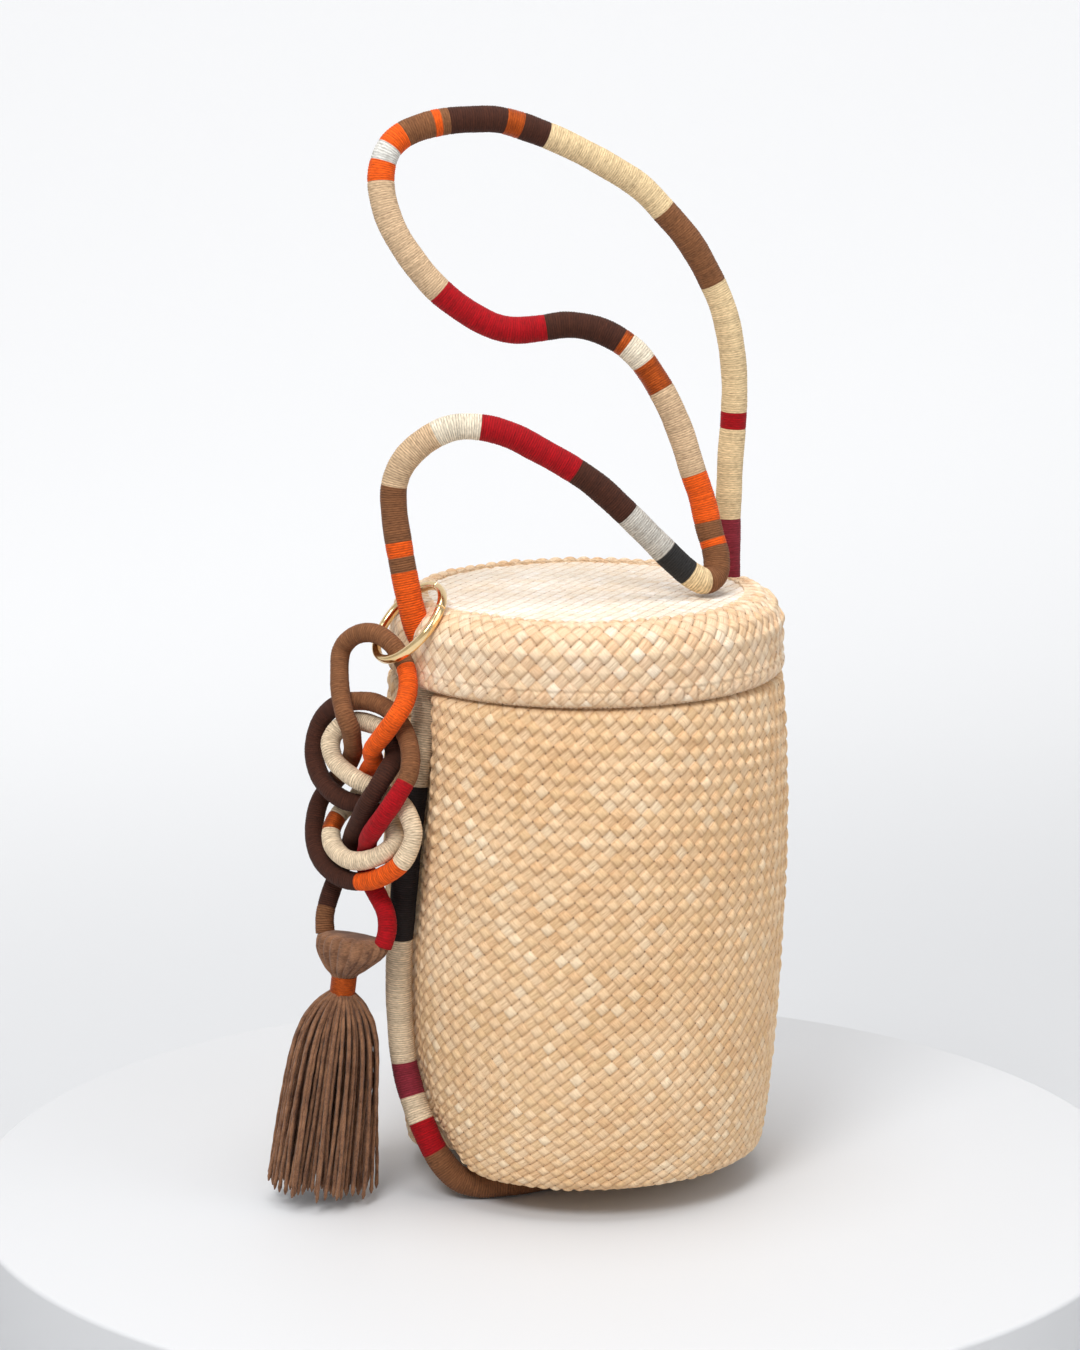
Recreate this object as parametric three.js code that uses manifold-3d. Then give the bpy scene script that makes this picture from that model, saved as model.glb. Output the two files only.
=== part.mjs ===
// A lidded bucket bag, woven from palm straw, with a thread-wrapped rope handle.
// The rope runs under the base, up both sides of the basket and out through two holes in
// the lid, where it stands in loops.  A knotted rope charm with a tassel hangs from a ring.
// Millimetres, +Z up.  The origin is on the basket's axis, at the surface it stands on.
import * as THREE from 'three';
import { mergeVertices } from 'three/addons/utils/BufferGeometryUtils.js';
import Module from 'manifold-3d';

const wasm = await Module();
wasm.setup();

// ---- driving dimensions ----
const standHeight = 270;      // from the table to the top of the lid
const wall = 2.5;             // woven straw, two layers
const lidRadius = 87.5;
const lidHeight = 35;
const lidShoulder = 13;       // rounding between the lid's wall and its top
const lidClearance = 1.5;     // the basket's neck inside the lid's wall
const bellyRadius = 90.5;     // the basket's widest place
const baseRadius = 80;
const baseCorner = 6;
const drawIn = 7;             // how much narrower than its belly the wall would be at the lid's top
const frontLift = 14.5;       // the rope holds the base's front edge off the table
const ropeRadius = 6;         // handle rope over its thread
const threadLayer = 1.1;      // thickness of the wound thread
const charmRopeRadius = 4.3;
const gap = 0.3;              // between pieces that touch
const ropeParting = standHeight - 27;   // height inside the lid where handle and cradle meet
const ropeSeat = 2.2;         // how far the straw stands clear of the rope pressed into it
const holeClearance = 1.2;    // round the rope in the lid's holes
const ringRadius = 20;        // to the middle of the ring's wire
const ringWire = 2;
const gateAngle = 50;         // degrees of the ring that the gate takes
const tasselRadius = 25;      // at the bottom of the skirt
const tasselLength = 92;      // from the binding to the ends
const bindingRadius = 6.3;
const bindingHeight = 9;
const headRadius = 13;
const skirtDome = 3.4;         // height of the skirt's domed top, on which it swings

// the direction in which the base rises off the table, towards its propped front
const liftDirection = new THREE.Vector2(-0.342, -0.94);
const lidBottom = standHeight - lidHeight;
const neckRadius = lidRadius - wall - lidClearance;
const neckTop = standHeight - wall - 6.2;

// ---- rope routes, chosen points on the centreline ----
// They are for a basket of these sizes, and followLid and followWall move them when it changes.
const routeHeight = 270;
const routeBelly = 90.5;
const routeParting = 243;
const taller = standHeight - routeHeight;
const wider = bellyRadius - routeBelly;
const partingClear = 0.4;      // from the parting to each rope's end
const handleRoute = [
  [-76.8, -8, routeParting + partingClear], [-76.9, -7.9, 247], [-78.6, -7.2, 252.5],
  [-81.4, -6, 260], [-84, -5, 270], [-86, -3, 282],
  [-88, 0, 298], [-89, 3, 312], [-88.5, 4, 323], [-84.5, 3, 333], [-75.5, 1, 342],
  [-64, -3, 348], [-50.5, -7, 348], [-38, -10.5, 344], [-29, -13, 339], [-14, -17, 330],
  [-3, -20, 322], [9.5, -23.5, 310], [20, -26.5, 299], [31, -29.5, 287.5], [38.5, -31, 280.8],
  [45, -31, 277.6], [51, -28, 279.5], [53, -24.5, 287], [51, -20.5, 299],
  [48.5, -17.5, 313], [45, -15, 325], [40.5, -12.5, 341], [35, -9.5, 355.5], [28.5, -6, 368],
  [22.5, -4, 376.5], [15, -1, 383], [5, 2.5, 388], [-7, 6, 390], [-19, 9, 388.5],
  [-31, 11, 388], [-41.5, 14, 391], [-61.5, 19, 405], [-75.5, 23, 422.5], [-82.5, 27, 436.5],
  [-85, 31, 450.5], [-84, 33, 459.5], [-80.5, 34, 467.5], [-74, 35, 473], [-64, 34, 477],
  [-53, 33, 479], [-42, 32, 479.5], [-30, 31, 479], [-9, 29, 472], [5, 27, 465.5],
  [19.5, 25, 457.5], [34, 23, 448], [45, 21, 436.5], [55.5, 19, 424], [64.5, 18, 409],
  [71.5, 16.5, 393], [75.5, 16, 376], [77.5, 16.5, 358.5], [77.5, 17.5, 340.5],
  [76.5, 18, 324], [76, 18, 309], [75.5, 18, 295], [75.5, 18, 270], [75, 18, 248],
  [75, 18, routeParting + partingClear],
];
const cradleRoute = [
  [-76.8, -8, routeParting - partingClear], [-76.8, -8.2, 239], [-77.6, -9.2, 231],
  [-81.5, -12.5, 214], [-86.5, -16, 190],
  [-89.5, -14, 157], [-91.5, -9.5, 120], [-91.3, -6, 94], [-89.3, -6.5, 61], [-87, -11.5, 46],
  [-84, -17, 34], [-78.5, -22.5, 20], [-70, -25.5, 9.5], [-60, -28, 6.2], [-48.5, -30, 6.2],
  [-30, -28, 6.2], [-5, -20, 6.2], [22, -9, 6.2], [45, 2, 6.2], [62, 10, 6.4], [74, 15, 10.5],
  [82, 18, 20], [86, 19.5, 34], [88, 19, 60], [89, 19, 100], [90, 19, 140], [89, 19, 180],
  [84.5, 19, 209], [75.2, 18, 229], [74.6, 18, 238],
  [75, 18, routeParting - partingClear],
];
// the charm's rope in the charm's own plane: across, down, out of the plane
const charmRoute = [
  [-30.5, 126.5, -3], [-31.5, 119, -4], [-31, 110.5, -7], [-27.5, 100, -9], [-22.5, 91.5, -9],
  [-16.5, 82, -5], [-8, 74, 2], [3, 62.5, 9.8], [9, 54, 9.8], [11.5, 47.5, 6], [9.5, 42, -2.5],
  [7, 36.5, -4], [2, 32.5, -6], [-5.5, 31, -6.5], [-13, 30.5, -6.5], [-19, 31.5, -5.5],
  [-23, 34.5, -3], [-24.8, 39, -0.5], [-23.5, 42, 1.5], [-20, 47.5, 2.5], [-13.5, 51.5, 2.5],
  [-6.5, 54, 3], [0, 56.5, 1], [8, 59, 1], [16.5, 62, 1], [21.5, 67, 2], [23.5, 73, 2],
  [22, 80, 3], [17.5, 87, 4], [9, 93, 4], [-0.5, 97, 4], [-11.5, 98.5, 3.5], [-22, 97, 2],
  [-31.5, 92.5, -1], [-37.5, 85, -4], [-39, 77, -6.5], [-38.5, 69.5, -9.5], [-32.5, 62, -9.8],
  [-27, 56.5, -9.8], [-22, 51.5, -8.5], [-17, 45, -6.2], [-11.5, 37.5, 1], [-8.5, 31, 6],
  [-10, 25, 8], [-14, 17.5, 6], [-16.5, 10.5, 4], [-17, -1, 2], [-10, -8, 1], [0, -10, 0],
  [10, -6, 0], [17, 2, 0], [20.5, 9.5, 2], [21, 16, 5], [17.5, 23, 7.5], [10.5, 31, 7],
  [2.5, 39, 4.5], [-2.5, 46, -3], [-10.5, 53, -8.8], [-14, 59.5, -9.8], [-18.5, 66.3, -10.3],
  [-23.5, 71, -8], [-25, 75, -4], [-24.5, 79.5, 0], [-21.5, 84.5, 2.5], [-14, 88, 5],
  [-6, 88.5, 6.4], [2.5, 86.5, 6], [8.5, 83.5, 4.5], [12, 79, 0.5], [10.5, 74.5, -1.5],
  [5.5, 71, -3.5], [-2.5, 68.5, -4.5], [-8, 65.5, -1], [-15, 64.5, 1.2], [-23, 61, 2.2],
  [-32.5, 55, -1], [-36.5, 46.5, -2.5], [-36, 38, -4], [-31.5, 30, -4], [-22, 23.5, -3],
  [-12, 21, -3], [-3, 20.5, -3.5], [5.5, 23, -4], [12, 27.5, -3], [18, 33.5, -1], [22, 40, 2],
  [23, 47.5, 5], [21, 54, 8.5], [17, 61, 10.5], [9.8, 69.2, 9.6], [1, 77.5, 5], [-6.5, 85, -3.2],
  [-9.5, 91.5, -5.5], [-8.5, 99, -6.5], [-3, 105.5, -6], [2.5, 112.5, -5], [4.5, 119.5, -3.5],
  [3, 127, -2],
];

// ---- bands of wound thread: name and colour, then the length that it covers ----
const thread = {
  orange: 0xf26a1b, tan: 0x9a7357, cream: 0xe6d2ae, red: 0xb40a2d, brown: 0x4a2e28,
  grey: 0xb5b0a8, charcoal: 0x2b2a2a, copper: 0xb5501a, burgundy: 0x7a1a30, black: 0x26201f,
};
const handleBands = [
  ['orange', 43], ['tan', 38], ['cream', 51], ['red', 46], ['brown', 32], ['grey', 26],
  ['charcoal', 12], ['cream', 10], ['tan', 24], ['orange', 34], ['cream', 41], ['copper', 14],
  ['cream', 15], ['brown', 35], ['red', 52], ['cream', 55], ['orange', 21], ['tan', 23],
  ['brown', 28], ['copper', 8], ['brown', 12], ['cream', 64], ['tan', 41], ['cream', 60],
  ['red', 8], ['cream', 41], ['burgundy', 60],
];
const cradleBands = [
  ['cream', 53], ['black', 72], ['cream', 59], ['burgundy', 16], ['cream', 12], ['red', 15],
  ['tan', 150], ['cream', 300],
];
const charmBands = [
  ['tan', 12], ['brown', 110], ['cream', 114], ['orange', 26], ['brown', 73], ['tan', 117],
  ['orange', 76], ['cream', 21], ['copper', 8], ['cream', 65], ['brown', 84], ['tan', 61],
  ['red', 94],
];

// ---- a rope as stations with a carried frame, so that core and windings never cross ----
class Rope {
  constructor(points, bands, radius) {
    this.radius = radius;
    this.curve = new THREE.CatmullRomCurve3(points, false, 'centripetal');
    this.curve.arcLengthDivisions = 1200;
    this.length = this.curve.getLength();
    this.ends = [];
    let reached = 0;
    for (const [, covers] of bands) {
      reached += covers;
      this.ends.push(Math.min(reached, this.length));
    }
    this.ends[this.ends.length - 1] = this.length;
    this.stations = this.placeStations();
    this.carryFrames();
  }
  at(distance) {
    return this.curve.getPointAt(THREE.MathUtils.clamp(distance / this.length, 0, 1));
  }
  direction(distance) {
    return this.curve.getTangentAt(THREE.MathUtils.clamp(distance / this.length, 0, 1));
  }
  // stations closer together where the rope bends more, with one at each band's end
  placeStations() {
    const longest = 4.5 * this.radius;
    const shortest = 1.15 * this.radius;
    const turnPerStep = 0.5;
    const list = [];
    let from = 0;
    for (const to of this.ends) {
      let here = from;
      list.push(from);
      while (true) {
        const ahead = this.direction(here + this.radius);
        const bend = this.direction(here).angleTo(ahead) / this.radius;
        const step = THREE.MathUtils.clamp(turnPerStep / Math.max(bend, 1e-4), shortest, longest);
        here += step;
        if (here > to - 0.6 * shortest) break;
        list.push(here);
      }
      from = to;
    }
    list.push(this.length);
    return list;
  }
  carryFrames() {
    this.points = this.stations.map((s) => this.at(s));
    this.tangents = this.stations.map((s) => this.direction(s));
    const first = new THREE.Vector3(0.31, 0.9, 0.27).cross(this.tangents[0]).normalize();
    this.normals = [first];
    for (let i = 1; i < this.points.length; i++) {
      const turn = new THREE.Quaternion().setFromUnitVectors(this.tangents[i - 1], this.tangents[i]);
      const carried = this.normals[i - 1].clone().applyQuaternion(turn);
      carried.addScaledVector(this.tangents[i], -carried.dot(this.tangents[i])).normalize();
      this.normals.push(carried);
    }
    this.binormals = this.tangents.map((t, i) => t.clone().cross(this.normals[i]));
  }
}

// A stretch of rope between two distances, as an extrusion path over the rope's own stations.
class Stretch extends THREE.Curve {
  constructor(rope, from, to, trim) {
    super();
    const last = rope.stations.length - 1;
    const first = rope.stations.findIndex((s) => Math.abs(s - from) < 1e-6);
    let final = last;
    if (to < rope.length - 1e-6) final = rope.stations.findIndex((s) => Math.abs(s - to) < 1e-6);
    this.points = rope.points.slice(first, final + 1).map((p) => p.clone());
    this.points[0].addScaledVector(rope.tangents[first], trim);
    this.points[this.points.length - 1].addScaledVector(rope.tangents[final], -trim);
    this.frames = {
      tangents: rope.tangents.slice(first, final + 1),
      normals: rope.normals.slice(first, final + 1),
      binormals: rope.binormals.slice(first, final + 1),
    };
  }
  get steps() {
    return this.points.length - 1;
  }
  getSpacedPoints() {
    return this.points;
  }
  computeFrenetFrames() {
    return this.frames;
  }
}

const ropeSides = 8;
function ringOfPoints(radius, sides = ropeSides) {
  const points = [];
  for (let i = 0; i < sides; i++) {
    const angle = (i / sides) * 2 * Math.PI;
    points.push(new THREE.Vector2(radius * Math.cos(angle), radius * Math.sin(angle)));
  }
  return points;
}

function tube(stretch, outer, inner = 0) {
  const section = new THREE.Shape(ringOfPoints(outer));
  if (inner > 0) section.holes.push(new THREE.Path(ringOfPoints(inner).reverse()));
  return new THREE.ExtrudeGeometry(section, { steps: stretch.steps, extrudePath: stretch });
}

// ---- solids in and out of the boolean library ----
function positionsOnly(geometry) {
  const bare = geometry.clone();
  bare.deleteAttribute('normal');
  bare.deleteAttribute('uv');
  return mergeVertices(bare, 1e-4);
}
function toSolid(geometry) {
  const merged = positionsOnly(geometry);
  return new wasm.Manifold(new wasm.Mesh({
    numProp: 3,
    vertProperties: new Float32Array(merged.attributes.position.array),
    triVerts: new Uint32Array(merged.index.array),
  }));
}
function toGeometry(solid) {
  const mesh = solid.getMesh();
  const geometry = new THREE.BufferGeometry();
  geometry.setAttribute('position', new THREE.BufferAttribute(mesh.vertProperties, 3));
  geometry.setIndex(new THREE.BufferAttribute(mesh.triVerts, 1));
  return geometry;
}

function material(color, roughness, metalness = 0) {
  return new THREE.MeshStandardMaterial({ color, roughness, metalness });
}
const straw = material(0xe4c8a0, 0.75);
const paleStraw = material(0xf2e3cc, 0.75);
const gold = material(0xd9a441, 0.2, 1);
const cottonCore = material(0xe8e0d0, 0.9);

const bag = new THREE.Group();
function add(parent, name, geometry, surface) {
  const mesh = new THREE.Mesh(geometry, surface);
  mesh.name = name;
  parent.add(mesh);
  return mesh;
}

// The rope's core and its windings.  Each winding is a sleeve of thread round the core.
function addRope(parent, prefix, rope, bands) {
  const whole = new Stretch(rope, 0, rope.length, 0);
  const bore = rope.radius - threadLayer;
  const coreRadius = bore - gap / Math.cos(Math.PI / ropeSides);
  add(parent, `${prefix}_core`, tube(whole, coreRadius), cottonCore);
  let from = 0;
  bands.forEach(([color], index) => {
    const to = rope.ends[index];
    const stretch = new Stretch(rope, from, to, gap / 2);
    const number = String(index + 1).padStart(2, '0');
    add(parent, `${prefix}_winding_${number}_${color}`, tube(stretch, rope.radius, bore),
      material(thread[color], 0.85));
    from = to;
  });
}

// The handle rises with the lid.
const followLid = ([x, y, z]) => new THREE.Vector3(x, y, z + taller);
// The cradle is stretched up a taller wall, and pushed out with a wider belly.
const baseEdgeHeight = 54;     // rope below this lies under the base or at its edge
const bellyHeight = 165;
const neckFrom = 209;          // from here up the wall draws in to the neck
const neckStart = 229;
function followWall([x, y, z]) {
  const { clamp } = THREE.MathUtils;
  const upWall = clamp((z - baseEdgeHeight) / (routeParting - baseEdgeHeight), 0, 1);
  const below = Math.max(0, bellyHeight - z) / bellyHeight;
  const neckShare = clamp((z - neckFrom) / (neckStart - neckFrom), 0, 1);
  const push = wider * (1 - below * below) * (1 - neckShare);
  const reach = Math.hypot(x, y);
  const out = reach > 0 ? 1 + push / reach : 1;
  return new THREE.Vector3(x * out, y * out, z + taller * upWall);
}
const handle = new Rope(handleRoute.map(followLid), handleBands, ropeRadius);
const cradle = new Rope(cradleRoute.map(followWall), cradleBands, ropeRadius);

// ---- basket ----
// Height of the base's underside: flat on the table at the back, rising to the propped front.
function baseHeight(x, y) {
  const along = x * liftDirection.x + y * liftDirection.y;
  const flatUntil = -0.7 * baseRadius;
  const share = THREE.MathUtils.clamp((along - flatUntil) / (1.5 * baseRadius), 0, 1);
  return frontLift * share * (2 - share);
}
// Points of the rope that the straw yields to, every few millimetres.
const pressing = [];
for (let s = 0; s <= cradle.length; s += 3) pressing.push(cradle.at(s));
for (let s = 0; s <= 40; s += 3) pressing.push(handle.at(s), handle.at(handle.length - s));
const grooveWidth = 13 * (bellyRadius / routeBelly);
const seat = ropeRadius + ropeSeat;
const baseSeat = seat + 1.3;   // the base is stiffer and bridges the rope

// How far the wall gives way inwards at (x, y, z), for a wall of the given outer radius.
// Above the place where the rope is parted the dent keeps its depth, so the rope can rise in it.
function wallGroove(x, y, height, outer) {
  const angle = Math.atan2(y, x);
  const z = Math.min(height, ropeParting);
  let deepest = 0;
  for (const p of pressing) {
    if (Math.abs(p.z - z) > 3.2) continue;
    const reach = Math.hypot(p.x, p.y);
    if (reach < outer - 3 * ropeRadius) continue;
    let turned = angle - Math.atan2(p.y, p.x);
    turned = Math.atan2(Math.sin(turned), Math.cos(turned));
    const aside = outer * turned;
    const depth = (outer - reach + seat) * Math.exp(-((aside / grooveWidth) ** 2));
    deepest = Math.max(deepest, depth);
  }
  return deepest;
}
// How far the base gives way upwards over the rope that lies under it.
function baseGroove(x, y, height) {
  let highest = 0;
  for (const p of pressing) {
    if (p.z > baseEdgeHeight) continue;
    const aside = Math.hypot(p.x - x, p.y - y);
    const depth = (p.z + baseSeat - height) * Math.exp(-((aside / grooveWidth) ** 2));
    highest = Math.max(highest, Math.min(depth, 1.2 * frontLift));
  }
  return highest;
}

// Outer profile of the basket from the middle of the base to the rim, before it is pressed.
function basketProfile() {
  const corner = baseRadius - baseCorner;
  const outer = [
    [0, 0], [0.15 * corner, 0], [0.3 * corner, 0], [0.45 * corner, 0], [0.6 * corner, 0],
    [0.75 * corner, 0], [0.9 * corner, 0],
    [corner, 0], [baseRadius - 1.8, 1.8], [baseRadius, baseCorner],
  ];
  const levels = [16, 26, 36, 48, 62, 80, 100, 125, 150, 175, 195, 210, 220];
  for (const z of levels) {
    const over = z > bellyHeight;
    const share = (z - bellyHeight) / (over ? standHeight - bellyHeight : bellyHeight);
    const drop = over ? drawIn : bellyRadius - baseRadius;
    outer.push([bellyRadius - drop * share * share, z]);
  }
  const lip = lidBottom - 6;
  outer.push([neckRadius + 3, lip], [neckRadius, lidBottom], [neckRadius, 0.5 * (lidBottom + neckTop)],
    [neckRadius, neckTop]);
  return outer;
}
function basketGeometry() {
  const outer = basketProfile();
  const inner = outer.slice(1).map(([r, z]) => {
    const onBase = z < baseCorner;
    return [Math.max(r - wall, 0.6 * r), onBase ? wall : z];
  });
  inner[inner.length - 1][1] = neckTop;
  const loop = [...outer, ...inner.reverse(), [0, wall]];
  const geometry = new THREE.LatheGeometry(loop.map(([r, z]) => new THREE.Vector2(r, z)), 48);
  geometry.rotateX(Math.PI / 2);
  const outerCount = outer.length;
  const rows = loop.length;
  const at = geometry.attributes.position;
  const fadeHeight = 70;
  for (let i = 0; i < at.count; i++) {
    const row = i % rows;
    const partner = row < outerCount ? row : rows - 1 - row;
    const outerRow = Math.min(Math.max(partner, 0), outerCount - 1);
    const outerRadius = outer[outerRow][0];
    const x = at.getX(i);
    const y = at.getY(i);
    let z = at.getZ(i);
    const radius = Math.hypot(x, y);
    const fade = Math.max(0, 1 - z / fadeHeight) ** 2;
    const across = radius > 1e-6 ? outerRadius / radius : 1;
    z += baseHeight(x * across, y * across) * fade;
    const outerZ = row < outerCount ? z : z - (outer[outerRow][1] < baseCorner ? wall : 0);
    if (outer[outerRow][1] <= 36) {
      const nearBase = Math.max(0, 1 - outer[outerRow][1] / 30);
      z += baseGroove(x * across, y * across, outerZ) * nearBase;
    }
    let scale = 1;
    if (radius > 0.5 * baseRadius) {
      scale = 1 - wallGroove(x, y, outerZ, outerRadius) / outerRadius * Math.min(1,
        (radius - 0.5 * baseRadius) / (0.3 * baseRadius));
    }
    at.setXYZ(i, x * scale, y * scale, z);
  }
  return geometry;
}
add(bag, 'basket_body', basketGeometry(), straw);

// ---- lid ----
function lidGeometry() {
  const shoulderArc = (radius, bulge, top, steps) => {
    const points = [];
    for (let i = 0; i <= steps; i++) {
      const angle = (i / steps) * 0.5 * Math.PI;
      points.push([radius - bulge + bulge * Math.cos(angle), top - bulge + bulge * Math.sin(angle)]);
    }
    return points;
  };
  const outer = shoulderArc(lidRadius, lidShoulder, standHeight, 5);
  const inner = shoulderArc(lidRadius - wall, lidShoulder - wall, standHeight - wall, 4).reverse();
  const profile = [
    [0, standHeight - wall], ...inner, [lidRadius - wall, lidBottom], [lidRadius, lidBottom],
    ...outer, [0, standHeight],
  ];
  const geometry = new THREE.LatheGeometry(profile.map(([r, z]) => new THREE.Vector2(r, z)), 48);
  return geometry.rotateX(Math.PI / 2);
}
function ropeHole(rope, from, to) {
  const pieces = [];
  const count = 14;
  for (let i = 0; i <= count; i++) pieces.push(rope.at(from + (to - from) * (i / count)));
  const path = new THREE.CatmullRomCurve3(pieces);
  const section = new THREE.Shape(ringOfPoints(rope.radius + holeClearance, 12));
  return new THREE.ExtrudeGeometry(section, { steps: count, extrudePath: path });
}
const holeReach = 45;          // length of rope that the hole in the lid follows
const lid = toSolid(lidGeometry())
  .subtract(toSolid(ropeHole(handle, 0, holeReach)))
  .subtract(toSolid(ropeHole(handle, handle.length - holeReach, handle.length)));
add(bag, 'lid', toGeometry(lid), paleStraw);

// ---- ropes ----
addRope(bag, 'handle', handle, handleBands);
addRope(bag, 'cradle', cradle, cradleBands);

// ---- ring and its gate ----
const ringCentre = followLid([-86.4, -10, 263.8]);
const ringNormal = new THREE.Vector3(-0.745, -0.082, 0.662).normalize();
const ringDown = new THREE.Vector3(0, 0, -1).projectOnPlane(ringNormal).normalize();
const ringAcross = ringNormal.clone().cross(ringDown);
const ringFrame = new THREE.Matrix4().makeBasis(ringDown, ringAcross, ringNormal)
  .setPosition(ringCentre);
const gateMiddle = THREE.MathUtils.degToRad(150);
const gateHalf = THREE.MathUtils.degToRad(gateAngle / 2);
const gateHinge = gateMiddle + gateHalf;
const gateTip = gateMiddle - gateHalf;
const tipOverlap = 3 * ringWire / ringRadius;   // both arcs run past the tip before it is cut
const onRing = (angle, radius) => [radius * Math.cos(angle), radius * Math.sin(angle), 0];
function arcOfWire(from, to, segments) {
  class Arc extends THREE.Curve {
    getPoint(t) {
      return new THREE.Vector3(...onRing(from + (to - from) * t, ringRadius));
    }
  }
  const section = new THREE.Shape(ringOfPoints(ringWire));
  return toSolid(new THREE.ExtrudeGeometry(section, { steps: segments, extrudePath: new Arc() }));
}
// The gate turns about the inner edge of its end, so its tip is cut to a circle round that edge.
const hingePoint = onRing(gateHinge, ringRadius - ringWire);
const tipPoint = onRing(gateTip, ringRadius);
const tipReach = Math.hypot(tipPoint[0] - hingePoint[0], tipPoint[1] - hingePoint[1]);
const roundHinge = (radius) => wasm.Manifold.cylinder(8 * ringWire, radius, radius, 64, true)
  .translate(hingePoint);
const nearTip = wasm.Manifold.cube([6 * ringWire, 6 * ringWire, 8 * ringWire], true)
  .translate(tipPoint);
const gateWire = arcOfWire(gateTip - tipOverlap, gateHinge, 7).intersect(roundHinge(tipReach));
const openWire = arcOfWire(gateHinge + gap / ringRadius, gateTip + tipOverlap + 2 * Math.PI, 30)
  .subtract(roundHinge(tipReach + gap).intersect(nearTip));
const keyRing = new THREE.Group();
keyRing.applyMatrix4(ringFrame);
bag.add(keyRing);
add(keyRing, 'ring', toGeometry(openWire), gold);
add(keyRing, 'ring_gate', toGeometry(gateWire), gold);

// ---- charm: knotted rope, head, binding and skirt of the tassel ----
const charmTurn = THREE.MathUtils.degToRad(-55.5);     // the charm's plane about Z
const charmHang = followLid([-99.8, -1.3, 248.1]);
const charmRest = 16.3;         // how far the knot rests forward of the ring, on the basket
const charmLean = 0.12;         // forward for each millimetre down, below the knot's middle
const knotMiddle = 60;
const settleLength = 30;        // how soon below the ring the knot comes to rest
const restDirection = new THREE.Vector3(liftDirection.x, liftDirection.y, 0);
const acrossCharm = new THREE.Vector3(Math.cos(charmTurn), Math.sin(charmTurn), 0);
const outOfCharm = new THREE.Vector3(Math.sin(charmTurn), -Math.cos(charmTurn), 0);
function inCharm([across, down, out]) {
  const settled = 1 - Math.exp(-Math.max(down, 0) / settleLength);
  const forward = charmRest * settled + charmLean * Math.max(0, down - knotMiddle);
  return charmHang.clone()
    .addScaledVector(acrossCharm, across)
    .addScaledVector(outOfCharm, out + wider * settled)
    .addScaledVector(restDirection, forward)
    .add(new THREE.Vector3(0, 0, -down));
}
const charm = new Rope(charmRoute.map(inCharm), charmBands, charmRopeRadius);
addRope(bag, 'charm', charm, charmBands);

// Yarn wrapped round the loop's bottom, its binding and the skirt, all on one upright axis.
const headTop = 127.5 + gap;
const headHeight = 15;
const tasselAxis = -16.5;      // across the charm
function upright(profile, segments) {
  const geometry = new THREE.LatheGeometry(profile.map(([r, z]) => new THREE.Vector2(r, z)), segments);
  return geometry.rotateX(Math.PI / 2);
}
const tasselTop = inCharm([tasselAxis, headTop, -2]);
const tasselDown = new THREE.Vector3(-0.114, 0.041, -1).normalize();
function addOnTassel(name, profile, below, surface, segments = 16) {
  const mesh = add(bag, name, upright(profile, segments), surface);
  mesh.position.copy(tasselTop).addScaledVector(tasselDown, below);
  mesh.quaternion.setFromUnitVectors(new THREE.Vector3(0, 0, -1), tasselDown);
  return mesh;
}
addOnTassel('tassel_head', [
  [0, -headHeight], [bindingRadius, -headHeight], [0.8 * headRadius, -0.6 * headHeight],
  [headRadius, -0.3 * headHeight], [0.9 * headRadius, 0], [0, 0],
], gap, material(0x8a6a54, 0.9));
const bindingTop = headHeight + 2 * gap;
addOnTassel('tassel_binding', [
  [0, -bindingHeight], [bindingRadius, -bindingHeight], [bindingRadius, 0], [0, 0],
], bindingTop, material(thread.copper, 0.4));
const skirtTop = bindingTop + bindingHeight + gap;
addOnTassel('tassel_skirt', [
  [0, -tasselLength], [0.96 * tasselRadius, -tasselLength], [tasselRadius, -0.9 * tasselLength],
  [0.9 * tasselRadius, -0.45 * tasselLength], [0.62 * tasselRadius, -0.12 * tasselLength],
  [0.95 * bindingRadius, -skirtDome], [0.1 * bindingRadius, 0], [0, 0],
], skirtTop, material(0x8a6a54, 0.95));

export default bag;
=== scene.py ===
import bpy
import math
import numpy as np
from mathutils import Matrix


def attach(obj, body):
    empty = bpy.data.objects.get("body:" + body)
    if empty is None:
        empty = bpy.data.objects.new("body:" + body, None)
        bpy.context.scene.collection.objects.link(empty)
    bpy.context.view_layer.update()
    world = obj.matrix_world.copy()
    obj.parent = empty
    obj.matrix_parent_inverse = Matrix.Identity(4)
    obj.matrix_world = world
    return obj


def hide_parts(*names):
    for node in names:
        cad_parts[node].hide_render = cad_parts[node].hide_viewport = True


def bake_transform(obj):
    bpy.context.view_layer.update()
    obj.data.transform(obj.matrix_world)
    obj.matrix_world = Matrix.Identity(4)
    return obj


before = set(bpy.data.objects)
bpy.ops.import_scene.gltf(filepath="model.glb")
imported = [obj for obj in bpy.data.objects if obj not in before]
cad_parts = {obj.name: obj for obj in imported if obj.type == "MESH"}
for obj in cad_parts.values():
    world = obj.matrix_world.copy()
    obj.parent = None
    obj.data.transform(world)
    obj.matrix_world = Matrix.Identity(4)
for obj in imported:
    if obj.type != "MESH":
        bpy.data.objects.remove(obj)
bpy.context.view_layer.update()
mm = 0.001
print("frame loaded:", len(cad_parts), "CAD nodes")

# ---- camera ----
cameraView = {
    "distance": 1.78,
    "height": 0.623,
    "azimuth": -20.0,
    "down": 12.4,
    "turn": 0.666,
    "lens": 107.73,
}


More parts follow.
